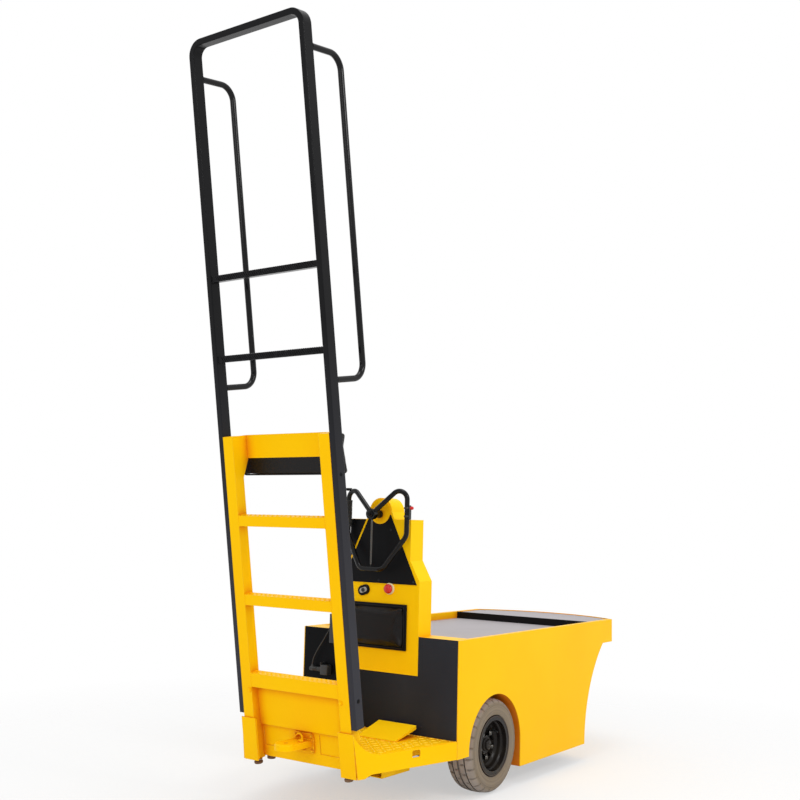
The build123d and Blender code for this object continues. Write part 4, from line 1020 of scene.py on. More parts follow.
def add_cushion(name, node, made, held):
    """Padded piece from a bmesh: voxel remesh, swelling and smoothing."""
    sizes = bpy.context.scene.chaser_sizes
    holders = bpy.context.scene.collection.objects
    base = mesh_of(name + "_base", made)
    source = bpy.data.objects.new(name + "_base", base)
    holders.link(source)
    remesh = source.modifiers.new("voxels", "REMESH")
    remesh.mode = "VOXEL"
    remesh.voxel_size = sizes.pad_voxel
    cloth_mesh = evaluated_mesh(source)
    bpy.data.objects.remove(source)
    bpy.data.meshes.remove(base)
    pad = bpy.data.objects.new(name + "_cloth", cloth_mesh)
    holders.link(pad)
    swell(pad, held, sizes.pad_cap)
    smooth = pad.modifiers.new("smooth", "SMOOTH")
    smooth.factor = 0.5
    smooth.iterations = 4
    rounded = pad.modifiers.new("rounded", "SUBSURF")
    rounded.levels = rounded.render_levels = 1
    mesh = evaluated_mesh(pad)
    bpy.data.objects.remove(pad)
    bpy.data.meshes.remove(cloth_mesh)
    settled(name, mesh, "vinyl_cover", "black_vinyl", node, sharp=70.0)


class CHASER_OT_pads(Operator):
    """Stuff the knee pad and the backrest, with their welts"""

    bl_idname = "chaser.pads"
    bl_label = "Pads"

    def execute(self, context):
        self.knee_pad()
        self.backrest()
        return {"FINISHED"}

    def knee_pad(self):
        low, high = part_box("knee_pad")
        rim = 0.012
        board = high.x - 0.008
        back = board - 0.0015
        made = add_block(bmesh.new(), (board, low.y, low.z), high, 0.0015)
        settled("knee_board", made, "dash_black", "black_vinyl")
        near, far = (low.x + 0.009, low.y + rim, low.z + rim), (board + 0.001, high.y - rim, high.z - rim)
        made = add_block(bmesh.new(), near, far, 0.010)
        add_cushion("knee_cushion", "knee_pad", made, lambda place: place.x > back)
        middle = (low + high) / 2
        line = rounded_rectangle((high.y - low.y) / 2 - rim + 0.002, (high.z - low.z) / 2 - rim + 0.002, 0.010)
        made = tube([Vector((back, middle.y + across, middle.z + above)) for across, above in line], 0.0026, 10)
        settled("knee_welt", made, "vinyl_cover", "black_vinyl", sharp=70.0)

    def backrest(self):
        turn = Matrix((LADDER_FORWARD, LEFT, LADDER_UP)).transposed().to_4x4()
        basis = Matrix.Translation((LADDER_FOOT_X, 0.0, 0.0)) @ turn
        inverse = basis.inverted()
        local = [inverse @ vert.co for vert in frame["nodes"]["backrest_pad"].data.vertices]
        low, high = (Vector((pick(place[i] for place in local) for i in range(3))) for pick in (min, max))
        inset = 0.004
        front = low.x + 0.0015
        near, far = (low.x, low.y + inset, low.z + inset), (high.x - 0.010, high.y - inset, high.z - inset)
        made = add_block(bmesh.new(), near, far, 0.013, basis)
        add_cushion("back_cushion", "backrest_pad", made, lambda place: (inverse @ place).x < front)
        line = rounded_rectangle((high.y - low.y) / 2 - 0.0078, (high.z - low.z) / 2 - 0.0078, 0.018)
        level = (low.z + high.z) / 2
        made = tube([basis @ Vector((low.x + 0.004, across, level + above)) for across, above in line], 0.0032, 10)
        settled("back_welt", made, "vinyl_cover", "black_vinyl", sharp=70.0)


# Console controls and the handlebar's fittings

KEY_PLACE = Vector((-0.334, 0.080, 0.853))
KEY_TURN = radians(-18.0)
KEY_SCREW = ((0.0, 0.0016), (0.0016, 0.0013), (0.0024, 0.0005), (0.0025, -0.001), (0.0, -0.001))
KEY_BARREL = (
    (0.0, 0.0020), (0.0052, 0.0020), (0.0056, 0.0038), (0.0080, 0.0038), (0.0086, 0.0030), (0.0088, -0.001),
    (0.0, -0.001),
)
STOP_PLACE = Vector((-0.334, -0.060, 0.865))
STOP_COLLAR = (
    (0.0, -0.0005), (0.0240, -0.0005), (0.0248, 0.0010), (0.0248, 0.0058), (0.0232, 0.0076), (0.0150, 0.0080),
    (0.0140, 0.0100), (0.0, 0.0100),
)
STOP_HEAD = (
    (0.0, 0.0265), (0.0060, 0.0262), (0.0115, 0.0252), (0.0160, 0.0233), (0.0190, 0.0205), (0.0205, 0.0170),
    (0.0208, 0.0140), (0.0202, 0.0118), (0.0180, 0.0112), (0.0120, 0.0112), (0.0118, 0.0060), (0.0, 0.0060),
)
THUMB_BUTTON = (
    (0.0, 0.0135), (0.0040, 0.0130), (0.0064, 0.0112), (0.0072, 0.0085), (0.0072, 0.0040), (0.0080, 0.0030),
    (0.0080, 0.0), (0.0, 0.0),
)
BAR_X = -0.360
BAR_HALF = 0.160
BAR_RADIUS = 0.011
GRIP_BOTTOM = 1.130
GRIP_TOP = 1.248
GRIP_RIBS = 17
SPOKE_X = -0.396
SPOKE_RINGS = 24
CLAMP_LEVEL = 1.290
HUB_PLATE = ((0.0, 0.0060), (0.0130, 0.0060), (0.0150, 0.0045), (0.0150, 0.0), (0.0, 0.0))
COLUMN_COLLAR = ((0.0165, -0.352), (0.0180, -0.351), (0.0180, -0.343), (0.0165, -0.342))


def add_clamp(made, y, level, radius, height):
    """Ring with broken edges round the bar's upright."""
    inner, edge = BAR_RADIUS + 0.0003, radius + (0.0006 if height < 0.010 else 0.0004)
    profile = (
        (inner, level), (radius, level), (edge, level + 0.001), (edge, level + height - 0.001),
        (radius, level + height), (inner, level + height),
    )
    add_turned(made, profile, (BAR_X, y, 0.0), UP, 32, closed=True)


class CHASER_OT_controls(Operator):
    """Make the key switch, stop button, twist grip, thumb switch and bar fittings"""

    bl_idname = "chaser.controls"
    bl_label = "Controls"

    def execute(self, context):
        self.key_switch()
        settled("stop_collar", turned(STOP_COLLAR, STOP_PLACE, BACK, 40), "cream_plastic", "red_plastic")
        settled("stop_head", turned(STOP_HEAD, STOP_PLACE, BACK, 40), "red_plastic", "red_plastic", "stop_button")
        self.twist_grip()
        self.thumb_switch()
        self.bar_fittings()
        return {"FINISHED"}

    def key_switch(self):
        basis = facing_basis(KEY_PLACE, BACK, Matrix.Rotation(KEY_TURN, 3, "X") @ LEFT)
        made = add_plate(bmesh.new(), stadium(0.0315, 0.0215, 16), basis, 0.0085, 0.0030)
        settled("key_bezel", made, "dash_black", "black_plastic", "key_switch")
        sunk = basis @ Matrix.Translation((0.0, 0.0, 0.0065))
        made = add_plate(bmesh.new(), stadium(0.0205, 0.0110, 14), sunk, 0.0030, 0.0008)
        for x in (-0.0145, 0.0145):
            add_turned(made, KEY_SCREW, basis @ Vector((x, 0.0, 0.0090)), BACK, 14)
        settled("key_face", made, "bright_steel", "black_plastic")
        made = turned(KEY_BARREL, basis @ Vector((0.0, 0.0, 0.0090)), BACK, 28)
        add_block(made, (-0.0012, -0.0044, 0.0105), (0.0012, 0.0044, 0.0125), 0.0003, basis, 1)
        settled("key_barrel", made, "black_plastic", "black_plastic")

    def twist_grip(self):
        inner = BAR_RADIUS + 0.0004
        profile = [(inner, GRIP_TOP), (0.0150, GRIP_TOP), (0.0168, GRIP_TOP - 0.002)]
        profile += [(0.0168, GRIP_TOP - 0.007), (0.0150, GRIP_TOP - 0.0085)]
        pitch = (GRIP_TOP - GRIP_BOTTOM - 0.016) / GRIP_RIBS
        for count in range(GRIP_RIBS):
            top = GRIP_TOP - 0.009 - count * pitch
            for radius, share in ((0.0144, 0.0), (0.0166, 0.30), (0.0166, 0.62), (0.0144, 0.94)):
                profile.append((radius, top - pitch * share))
        profile += [(0.0150, GRIP_BOTTOM + 0.004), (0.0140, GRIP_BOTTOM), (inner, GRIP_BOTTOM)]
        made = turned(profile, (BAR_X, BAR_HALF, 0.0), UP, 40, closed=True)
        settled("twist_grip", made, "black_rubber", "black_rubber", "throttle_grip", body="steering_bar", sharp=45.0)

    def thumb_switch(self):
        low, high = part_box("thumb_switch")
        made = add_block(bmesh.new(), low, (high.x, high.y - 0.004, high.z), 0.0035)
        for level in (low.z + 0.010, high.z - 0.016):
            add_clamp(made, -BAR_HALF, level, 0.0132, 0.008)
        settled("thumb_housing", made, "black_plastic", "black_plastic", "thumb_switch", body="steering_bar")
        spot = ((low.x + high.x) / 2 + 0.002, low.y + 0.001, high.z - 0.012)
        made = turned(THUMB_BUTTON, spot, -LEFT, 24)
        settled("thumb_button", made, "red_plastic", "red_plastic", body="steering_bar")

    def bar_fittings(self):
        sleeve = [(0.0042, 0.968)]
        for count in range(SPOKE_RINGS):
            level = 0.970 + count * 0.0079
            sleeve += [(0.0052, level), (0.0056, level + 0.0026), (0.0052, level + 0.0052)]
        made = turned(sleeve + [(0.0042, 1.162)], (SPOKE_X, 0.0, 0.0), UP, 20)
        settled("bar_spoke", made, "dark_steel", "black_paint", body="steering_bar", sharp=50.0)
        made = bmesh.new()
        add_clamp(made, BAR_HALF, CLAMP_LEVEL, 0.0126, 0.012)
        add_block(
            made, (BAR_X - 0.021, BAR_HALF - 0.003, CLAMP_LEVEL + 0.001),
            (BAR_X - 0.010, BAR_HALF + 0.003, CLAMP_LEVEL + 0.011), 0.0008,
        )
        add_turned(made, HUB_PLATE, (-0.411, 0.0, COLUMN.z), BACK, 32)
        add_turned(made, COLUMN_COLLAR, (0.0, 0.0, COLUMN.z), AHEAD, 36, closed=True)
        settled("bar_collars", made, "gloss_black", "black_paint", body="steering_bar")
        grown(
            "bar_bolt", bolt_heads(), "black_enamel", "black_paint", [((-0.4168, 0.0, COLUMN.z), BACK, UP)],
            body="steering_bar", radius=0.009, height=0.006, washer=0.0015,
        )


# Cord

CORD_START = Vector((-0.349, 0.252757, 0.678006))
CORD_STEPS = (
    (0.0, 0.0, 0.0), (0.0, 0.0097, -0.0175), (-0.001, 0.037, -0.059), (-0.002, 0.065, -0.098),
    (-0.002, 0.084, -0.129), (-0.001, 0.097, -0.156), (0.0, 0.099, -0.174),
)
CORD_ROUTE = [CORD_START + Vector(step) for step in CORD_STEPS]
CORD_DIAMETER = 0.006
CORD_WAY = Vector((0.0, cos(radians(61.0)), -sin(radians(61.0))))
PLUG_NECK = (
    (0.0, 0.018), (0.0042, 0.018), (0.0048, 0.012), (0.0056, 0.011), (0.0056, 0.008), (0.0062, 0.007),
    (0.0066, -0.002), (0.0, -0.002),
)
SOCKET_RING = ((0.0112, -0.006), (0.0150, -0.006), (0.0158, -0.004), (0.0158, 0.0), (0.0112, 0.0))
PLUG_RIBS = RELIEF_RIBS = 6


class CHASER_OT_cord(Operator):
    """Lay the charger cord from its box to the socket on the wall"""

    bl_idname = "chaser.cord"
    bl_label = "Charger cord"

    def execute(self, context):
        curve = nurbs_line("cord_line", CORD_ROUTE, CORD_DIAMETER / 2, 4, 12)
        curve.materials.append(finish("cord_sheath"))
        lead = bpy.data.objects.new("charger_lead", curve)
        context.scene.collection.objects.link(lead)
        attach(lead, "chassis")
        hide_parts("charger_cord")
        plug = self.plug()
        self.fittings()
        return {"FINISHED"}

    def plug(self):
        low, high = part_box("cord_plug")
        end = CORD_ROUTE[-1]
        level = end.z - 0.016
        barrel = [(0.0, high.y), (0.0085, high.y), (0.0108, high.y - 0.003)]
        for count in range(PLUG_RIBS):
            start = high.y - 0.020 - count * 0.0045
            barrel += [(0.0108, start), (0.0096, start - 0.0008), (0.0096, start - 0.0024), (0.0108, start - 0.0032)]
        barrel += [(0.0108, low.y + 0.008), (0.0098, low.y + 0.006), (0.0098, low.y), (0.0, low.y)]
        made = turned(barrel, (end.x, 0.0, level), LEFT, 28)
        add_turned(made, PLUG_NECK, (end.x, end.y, level), UP, 24)
        return settled("elbow_plug", made, "black_plastic", "black_plastic", "cord_plug")

    def fittings(self):
        relief = [(0.0, -0.004), (0.0070, -0.004), (0.0070, 0.005)]
        for count in range(RELIEF_RIBS):
            start = 0.006 + count * 0.0042
            wide = 0.0066 - count * 0.0004
            thin = wide - 0.0012
            relief += [(thin, start), (wide, start + 0.0006), (wide, start + 0.0028), (thin, start + 0.0034)]
        relief += [(0.0035, 0.0330), (0.0, 0.0330)]
        made = turned(relief, (CORD_START.x, 0.245, 0.692), CORD_WAY, 24)
        settled("strain_relief", made, "black_rubber", "black_rubber", "cord_gland")
        low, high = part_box("cord_box")
        made = add_block(bmesh.new(), (low.x + 0.006, low.y, low.z), high, 0.003)
        lid = (low.x, low.y - 0.0005, low.z - 0.0015)
        add_block(made, lid, (low.x + 0.009, high.y + 0.0015, high.z + 0.0015), 0.0025)
        settled("lead_box", made, "black_plastic", "black_plastic", "cord_box")
        low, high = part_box("wall_socket")
        middle = (low + high) / 2
        made = add_block(bmesh.new(), low, (high.x, high.y - 0.003, high.z), 0.004)
        add_turned(made, SOCKET_RING, (middle.x, high.y, middle.z), LEFT, 32, closed=True)
        flap = (middle.x - 0.013, high.y - 0.003, high.z - 0.004)
        add_block(made, flap, (middle.x + 0.013, high.y, high.z + 0.010), 0.0012)
        settled("socket_body", made, "black_plastic", "black_plastic", "wall_socket")


# Tread plate, step and rung grips, fasteners and welds

FLOOR_TOP = 0.263
PLATFORM_REAR_X = -0.742
PLATFORM_FRONT_X = -0.345
PEDAL_BOX = ((-0.520, -0.345), (-0.240, -0.026))
# The platform widens forward from its rear corner.
CORNER_X, CORNER_HALF = -0.863, 0.288
WIDENING = 0.131
WIDENING_LENGTH = 0.531
TREAD_MARGIN = 0.024
STEP_HALF = 0.2251
RUNG_HALF = 0.26
RUNG_FRONT, RUNG_MIDDLE, RUNG_REAR = 0.0444, 0.0254, 0.0064
RUNG_HEIGHT = 0.0254


class CHASER_OT_grips(Operator):
    """Press the tread plate's lozenges and the grips of steps and rungs"""

    bl_idname = "chaser.grips"
    bl_label = "Tread and grips"

    def execute(self, context):
        sizes = context.scene.chaser_sizes
        self.lozenges(sizes)
        spots = []
        for count in range(3):
            for row, depth in enumerate((0.010, 0.023, 0.036)):
                for column in range(-9, 10):
                    y = (column + 0.5 * (row % 2)) * 0.0235
                    if abs(y) < STEP_HALF - 0.012:
                        spots.append((ladder_point(depth, y, step_top(count)), LADDER_UP, LEFT))
        wide = 2 * sizes.button_radius
        grown(
            "step_buttons", pressed_studs(), "pressed_yellow", "yellow_paint", spots, sharp=80.0,
            length=wide, width=wide, height=0.0018,
        )
        spots = []
        slanted = LADDER_UP + LEFT * 0.7
        steps = int(RUNG_HALF / sizes.ridge_pitch)
        for top in (rung_top(1), rung_top(2)):
            for column in range(-steps, steps + 1):
                y = column * sizes.ridge_pitch
                spots += [
                    (ladder_point(RUNG_REAR, y, top - RUNG_HEIGHT / 2), -LADDER_FORWARD, slanted),
                    (ladder_point(RUNG_MIDDLE, y, top), LADDER_UP, LADDER_FORWARD + LEFT * 0.5),
                    (ladder_point(RUNG_FRONT, y, top - RUNG_HEIGHT / 2), LADDER_FORWARD, slanted),
                ]
        grown(
            "rung_ridges", grip_ridges(), "black_enamel", "black_paint", spots, sharp=30.0,
            length=0.0225, width=0.0042, height=0.0024,
        )
        return {"FINISHED"}

    def lozenges(self, sizes):
        pitch = sizes.lozenge_pitch
        (pedal_rear, pedal_front), (pedal_right, pedal_left) = PEDAL_BOX
        spots = []
        for row in range(int((PLATFORM_FRONT_X - PLATFORM_REAR_X) / pitch) + 1):
            x = PLATFORM_FRONT_X - row * pitch
            half = CORNER_HALF + (x - CORNER_X) / WIDENING_LENGTH * WIDENING - TREAD_MARGIN
            reach = int(half / pitch)
            for column in range(-reach, reach + 1):
                y = column * pitch
                if not (pedal_rear < x < pedal_front and pedal_right < y < pedal_left):
                    slant = 1.0 if (row + column) % 2 else -1.0
                    spots.append(((x, y, FLOOR_TOP), UP, (1.0, slant, 0.0)))
        grown(
            "floor_lozenges", pressed_studs(), "tread_yellow", "yellow_paint", spots, sharp=80.0,
            length=sizes.lozenge_length, width=0.0072, height=0.0022,
        )


DECK_TOP = 0.634
FRONT_DECK_TOP = 0.666
RAIL_Y = 0.242
HITCH_LEVEL = 0.274
# Places of screws: across and up on the dash, the wall and the cover, ahead and across on the decks
DASH_SCREWS = (
    (-0.185, 0.899), (0.185, 0.899), (-0.060, 1.120), (0.060, 1.120), (0.0, 0.899), (0.155, 1.010), (0.155, 1.150),
)
WALL_SCREWS = [(y, z) for y in (-0.395, -0.235, 0.235, 0.395) for z in (0.300, 0.640)]
COVER_SCREWS = ((0.195, 0.67), (0.195, 0.88), (0.148, 1.01), (0.148, 1.14))
DECK_SIDE_X = (-0.205, 0.02, 0.25, 0.48, 0.71, 0.925)
DECK_SIDE_Y = 0.382
DECK_ENDS = ((-0.212, DECK_TOP), (0.928, DECK_TOP), (0.962, FRONT_DECK_TOP))
FRONT_DECK_SCREWS = ((1.17, 0.35), (1.26, 0.19))


class CHASER_OT_fasteners(Operator):
    """Fit the bolts and screws that hold the frame, dash, decks and hitch"""

    bl_idname = "chaser.fasteners"
    bl_label = "Bolts and screws"

    def execute(self, context):
        self.bolts(context.scene.chaser_sizes)
        self.screws(context.scene.chaser_sizes.screw_radius)
        return {"FINISHED"}

    def bolts(self, sizes):
        grown(
            "frame_bolts", bolt_heads(), "pressed_yellow", "yellow_paint",
            [(ladder_point(-0.0003, side * 0.236, 0.470), -LADDER_FORWARD, LEFT) for side in SIDES],
            radius=sizes.bolt_radius, height=0.004, washer=0.0012,
        )
        under = []
        for side in SIDES:
            under += [((REAR_AXLE.x + shift, side * RAIL_Y, 0.305), UP) for shift in (-0.024, 0.024)]
            under += [((x, side * RAIL_Y, 0.245), -UP) for x in (-0.235, 0.30, 0.80)]
        grown(
            "rail_bolts", bolt_heads(), "chassis_black", "chassis_black", under,
            radius=0.0095, height=0.007, washer=0.002,
        )
        posts = [
            (ladder_point(0.0254, side * 0.3025, s), LEFT * side) for side in SIDES for s in (0.4772, 1.3431)
        ]
        grown("post_screws", dome_screws(), "dash_black", "black_paint", posts, sharp=60.0, radius=0.0075)
        hitch = [
            (ladder_point(0.0397, y, HITCH_LEVEL + shift), -LADDER_FORWARD)
            for y in (-0.041, 0.041) for shift in (-0.029, 0.029)
        ]
        grown(
            "hitch_bolts", bolt_heads(), "yellow_enamel", "yellow_paint", hitch,
            radius=0.0058, height=0.0046, washer=0.0012,
        )

    def screws(self, radius):
        wall = [((-0.3365, y, z), BACK) for y, z in DASH_SCREWS]
        wall += [((-0.332, y, z), BACK) for y, z in WALL_SCREWS]
        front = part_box("console")[1].x
        cover = [((front, side * y, z), -BACK) for side in SIDES for y, z in COVER_SCREWS]
        deck = [((x, side * DECK_SIDE_Y, DECK_TOP), UP) for x in DECK_SIDE_X for side in SIDES]
        deck += [((x, y, z), UP) for y in (-0.25, 0.0, 0.25) for x, z in DECK_ENDS]
        deck += [((x, side * y, FRONT_DECK_TOP), UP) for side in SIDES for x, y in FRONT_DECK_SCREWS]
        for name, look, slot, spots in (
            ("wall_screws", "wall_black", "black_paint", wall),
            ("cover_screws", "bright_steel", "yellow_paint", cover),
            ("deck_screws", "bright_steel", "deck_grey", deck),
        ):
            grown(name, dome_screws(), look, slot, spots, sharp=60.0, radius=radius)


RAIL_WELD_STEPS = 20


def seam(rear, front, y, top, height):
    """Closed line round the end of a step or rung."""
    corners = ((rear, top - height), (rear, top), (front, top), (front, top - height))
    return [ladder_point(depth, y, s) for depth, s in corners], True


class CHASER_OT_welds(Operator):
    """Run the weld beads at the steps, rungs, rails, plates and hitch"""

    bl_idname = "chaser.welds"
    bl_label = "Welds"

    def execute(self, context):
        black = [
            seam(RUNG_REAR, RUNG_FRONT, side * 0.2766, rung_top(count), RUNG_HEIGHT)
            for count in (1, 2) for side in SIDES
        ]
        turns = [2 * pi * step / RAIL_WELD_STEPS for step in range(RAIL_WELD_STEPS)]
        for s in (1.701, 2.962):
            for side in SIDES:
                ring = [ladder_point(0.0514, side * 0.2898 + 0.0120 * cos(t), s + 0.0129 * sin(t)) for t in turns]
                black.append((ring, True))
        yellow = [
            seam(0.001, 0.045, side * 0.2246, step_top(count), height)
            for count, height in enumerate((0.055, 0.042, 0.042)) for side in SIDES
        ]
        for side in SIDES:
            yellow += [
                ([Vector((-0.742, side * 0.313, 0.2632)), Vector((-0.336, side * 0.4135, 0.2632))], False),
                ([ladder_point(0.001, side * 0.2136, s) for s in (0.190, 0.350)], False),
            ]
        yellow.append(([ladder_point(0.0395, y, 0.288) for y in (-0.040, 0.040)], False))
        self.run("black_welds", black, "black_enamel", "black_paint")
        self.run("yellow_welds", yellow, "pressed_yellow", "yellow_paint")
        return {"FINISHED"}

    def run(self, name, lines, look, slot):
        """Piece of weld along open and closed lines."""
        sizes = bpy.context.scene.chaser_sizes
        points, edges = [], []
        for line, closed in lines:
            first = len(points)
            points += line
            edges += [(first + k, first + k + 1) for k in range(len(line) - 1)]
            if closed:
                edges.append((len(points) - 1, first))
        mesh = grown_mesh(
            name, weld_beads(), look, points, edges, radius=sizes.bead_radius, pitch=sizes.bead_pitch, seed=7
        )
        settled(name, mesh, look, slot, sharp=80.0)


# Hitch lever, pedal linkage, feet and drive

LEVER_STEPS = (
    (0.100, -0.030, 0.004), (0.112, -0.026, 0.007), (0.128, -0.012, 0.016), (0.136, 0.006, 0.022),
    (0.140, 0.024, 0.018), (0.142, 0.034, 0.006),
)
SPRING_TURNS = 9
FOOT_Y = 0.245
FOOT_X = -0.7237
FOOT_SHAPE = (
    (0.0, 0.0), (0.0110, 0.0), (0.0118, 0.30), (0.0160, 0.42), (0.0178, 0.55), (0.0178, 0.86), (0.0165, 1.0),
    (0.0, 1.0),
)
MOTOR_FINS = 16
CASE_BOLTS = 8
CASE_CIRCLE = 0.080


def stile_foot(side, s):
    """Point under a stile's lower end."""
    return ladder_point(0.018, side * 0.2341, s)


class CHASER_OT_trim(Operator):
    """Fit the hitch lever, the pedal's linkage, the feet and the motor's fins"""

    bl_idname = "chaser.trim"
    bl_label = "Hitch, feet and drive"

    def execute(self, context):
        self.hitch_lever()
        self.linkage()
        self.feet()
        self.drive()
        return {"FINISHED"}

    def hitch_lever(self):
        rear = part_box("tow_hitch")[0].x
        top = ladder_point(0.046, 0.0, HITCH_LEVEL).z + 0.0125
        route = [(rear + x, y, top + z) for x, y, z in LEVER_STEPS]
        holder = bpy.data.objects.new("lever_line", nurbs_line("lever_line", route, 0.0045, 3, 10))
        bpy.context.scene.collection.objects.link(holder)
        rod = evaluated_mesh(holder)
        bpy.data.objects.remove(holder)
        made = bmesh.new()
        made.from_mesh(rod)
        bpy.data.meshes.remove(rod)
        add_block(made, (rear + 0.090, -0.038, top - 0.001), (rear + 0.106, -0.022, top + 0.009), 0.002)
        settled("hitch_lever", made, "yellow_enamel", "yellow_paint", sharp=50.0)

    def linkage(self):
        low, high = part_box("pedal_housing")
        level = low.z + 0.45 * (high.z - low.z)
        right, left = low.y + 0.001, high.y - 0.001
        shaft = ((0.0, right), (0.005, right), (0.005, left), (0.0, left))
        made = turned(shaft, (low.x + 0.030, 0.0, level), LEFT, 16)
        spring = [(0.0, low.x + 0.004), (0.0040, low.x + 0.004)]
        for turn in range(SPRING_TURNS):
            start = low.x + 0.006 + turn * 0.008
            spring += [(0.0042, start), (0.0058, start + 0.002), (0.0058, start + 0.004), (0.0042, start + 0.006)]
        spring += [(0.0040, low.x + 0.080), (0.0, low.x + 0.080)]
        for share in (0.3, 0.7):
            add_turned(made, spring, (0.0, low.y + share * (high.y - low.y), level + 0.006), AHEAD, 16)
        settled("pedal_linkage", made, "bright_steel", "chassis_black", sharp=50.0)

    def feet(self):
        made = bmesh.new()
        nuts = []
        for side in SIDES:
            under = (FOOT_X, side * FOOT_Y, 0.199)
            for root, way, drop in ((stile_foot(side, 0.182), -LADDER_UP, 0.018), (under, -UP, 0.032)):
                add_turned(made, [(radius, drop * share) for radius, share in FOOT_SHAPE], root, way, 28)
            nuts += [(stile_foot(side, 0.1822), -LADDER_UP), ((FOOT_X, side * FOOT_Y, 0.1992), -UP)]
        settled("foot_pads", made, "brown_rubber", "black_rubber", "base_feet")
        grown(
            "foot_nuts", bolt_heads(), "bright_steel", "chassis_black", nuts,
            radius=0.0125, height=0.0050, washer=0.0016,
        )

    def drive(self):
        start = REAR_AXLE.x + 0.105
        profile = [(0.0840, start)]
        for count in range(MOTOR_FINS):
            x = start + 0.004 + count * 0.0125
            profile += [(0.0852, x), (0.0925, x + 0.001), (0.0925, x + 0.0035), (0.0852, x + 0.0045)]
        profile.append((0.0840, x + 0.008))
        made = turned(profile, (0.0, 0.040, REAR_AXLE.z), AHEAD, 56)
        settled("motor_fins", made, "chassis_black", "chassis_black")
        spots = []
        for count in range(CASE_BOLTS):
            turn = 2 * pi * (count + 0.5) / CASE_BOLTS
            x, z = REAR_AXLE.x + CASE_CIRCLE * cos(turn), REAR_AXLE.z + CASE_CIRCLE * sin(turn)
            spots += [((x, -0.035, z), -LEFT), ((x, 0.115, z), LEFT)]
        grown(
            "case_bolts", bolt_heads(), "bright_steel", "chassis_black", spots,
            radius=0.0065, height=0.005, washer=0.0012,
        )


# Stage

LAMPS = (
    ("key", (-1.2, -5.0, 4.2), (0.0, 0.0, 0.8), 1.5),
    ("fill", (-6.0, -0.5, 3.0), (-0.3, 0.0, 1.0), 1.8),
    ("top", (-0.8, -0.6, 6.2), (-0.2, 0.0, 0.6), 2.5),
)
FLOOR_RADIUS = 4.0
FLOOR_FADE = (1.3, 3.4)


def camera_turn(yaw, pitch, roll):
    """Rotation of a camera that heads along yaw and pitch and is rolled about its own line."""
    ahead = Vector((cos(yaw) * cos(pitch), sin(yaw) * cos(pitch), sin(pitch)))
    right = Vector((sin(yaw), -cos(yaw), 0.0))
    above = right.cross(ahead)
    right, above = cos(roll) * right + sin(roll) * above, cos(roll) * above - sin(roll) * right
    return Matrix((right, above, -ahead)).transposed()


def shown_straight(net):
    """Mask of the rays that see the backdrop itself: from the camera, by reflection or through glass."""
    path = net.node("ShaderNodeLightPath").outputs
    seen = net.math("ADD", path["Is Camera Ray"], path["Is Glossy Ray"])
    return net.math("ADD", seen, path["Is Transmission Ray"])


def floor_material(stage):
    """Pale floor that fades into the white backdrop away from the machine."""
    made, net, shader = new_material("pale_floor", roughness=0.9, specular_ior_level=0.0)
    level = stage.floor_level
    shader.inputs["Base Color"].default_value = (level, level, level, 1.0)
    far = net.add("ShaderNodeVectorMath", "Value", {0: net.place()}, operation="LENGTH")
    white = net.add("ShaderNodeEmission", 0, {"Strength": 1.0})
    seen = net.times(shown_straight(net), stage.floor_white)
    lit = net.add("ShaderNodeMixShader", 0, {0: seen, 1: shader.outputs[0], 2: white})
    clear = net.add("ShaderNodeBsdfTransparent", 0)
    mixed = net.add("ShaderNodeMixShader", 0, {0: net.ramp(far, *FLOOR_FADE), 1: lit, 2: clear})
    net.link(mixed, net.tree.nodes["Material Output"].inputs["Surface"])
    return made


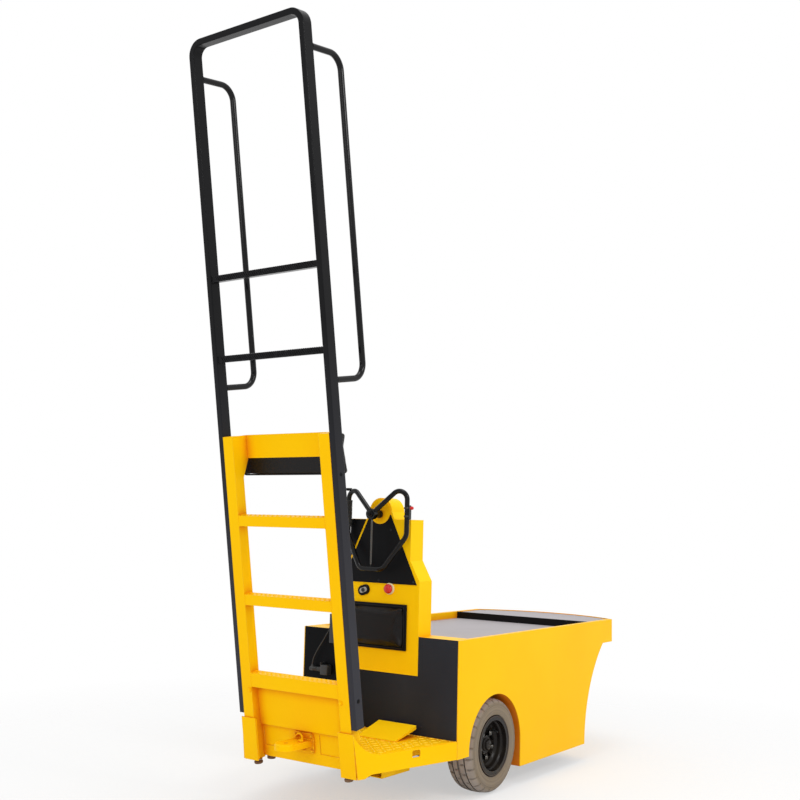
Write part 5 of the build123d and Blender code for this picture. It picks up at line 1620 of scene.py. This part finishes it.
class CHASER_OT_stage(Operator):
    """Set the camera, lamps, floor and backdrop"""

    bl_idname = "chaser.stage"
    bl_label = "Stage"

    def execute(self, context):
        scene = context.scene
        stage = scene.chaser_stage
        camera = bpy.data.cameras.new("view_camera")
        camera.lens = stage.lens
        camera.sensor_width = 36.0
        camera.clip_end = 100.0
        holder = bpy.data.objects.new("view_camera", camera)
        turn = camera_turn(stage.camera_yaw, stage.camera_pitch, stage.camera_roll)
        holder.matrix_world = Matrix.Translation(stage.camera_place) @ turn.to_4x4()
        scene.collection.objects.link(holder)
        scene.camera = holder
        for name, place, target, size in LAMPS:
            lamp = bpy.data.lights.new(f"{name}_lamp", "AREA")
            lamp.energy = getattr(stage, f"{name}_power")
            lamp.size = size
            holder = bpy.data.objects.new(lamp.name, lamp)
            holder.location = place
            holder.rotation_euler = (Vector(target) - Vector(place)).to_track_quat("-Z", "Y").to_euler()
            scene.collection.objects.link(holder)
        bpy.ops.mesh.primitive_circle_add(vertices=64, radius=FLOOR_RADIUS, fill_type="NGON")
        floor = context.active_object
        floor.name = "studio_floor"
        floor.data.materials.append(floor_material(stage))
        world = bpy.data.worlds.new("studio_sky")
        world.use_nodes = True
        net = Net(world.node_tree)
        light = net.tree.nodes["Background"].inputs
        light["Color"].default_value = (1.0, 1.0, 1.0, 1.0)
        net.link(net.ramp(shown_straight(net), 0.0, 1.0, stage.sky_level, 1.0), light["Strength"])
        scene.world = world
        scene.view_settings.view_transform = "Standard"
        return {"FINISHED"}


OPERATORS = (
    CHASER_OT_finishes, CHASER_OT_cord, CHASER_OT_tyres, CHASER_OT_wheels, CHASER_OT_pads, CHASER_OT_controls,
    CHASER_OT_grips, CHASER_OT_fasteners, CHASER_OT_welds, CHASER_OT_trim, CHASER_OT_stage,
)


class CHASER_PT_looks(Panel):
    """Lists the makers of the machine's looks"""

    bl_label = "Stock Chaser"
    bl_idname = "CHASER_PT_looks"
    bl_space_type = "VIEW_3D"
    bl_region_type = "UI"
    bl_category = "Chaser"

    def draw(self, context):
        for operator in OPERATORS:
            self.layout.operator(operator.bl_idname)


CLASSES = (ChaserFinish, ChaserSizes, ChaserStage, *OPERATORS, CHASER_PT_looks)


def register():
    for made in CLASSES:
        bpy.utils.register_class(made)
    bpy.types.Scene.chaser_finish = PointerProperty(type=ChaserFinish)
    bpy.types.Scene.chaser_sizes = PointerProperty(type=ChaserSizes)
    bpy.types.Scene.chaser_stage = PointerProperty(type=ChaserStage)


def unregister():
    del bpy.types.Scene.chaser_stage
    del bpy.types.Scene.chaser_sizes
    del bpy.types.Scene.chaser_finish
    for made in reversed(CLASSES):
        bpy.utils.unregister_class(made)


def main():
    register()
    for operator in OPERATORS:
        group, name = operator.bl_idname.split(".")
        getattr(getattr(bpy.ops, group), name)()


if __name__ == "__main__":
    main()
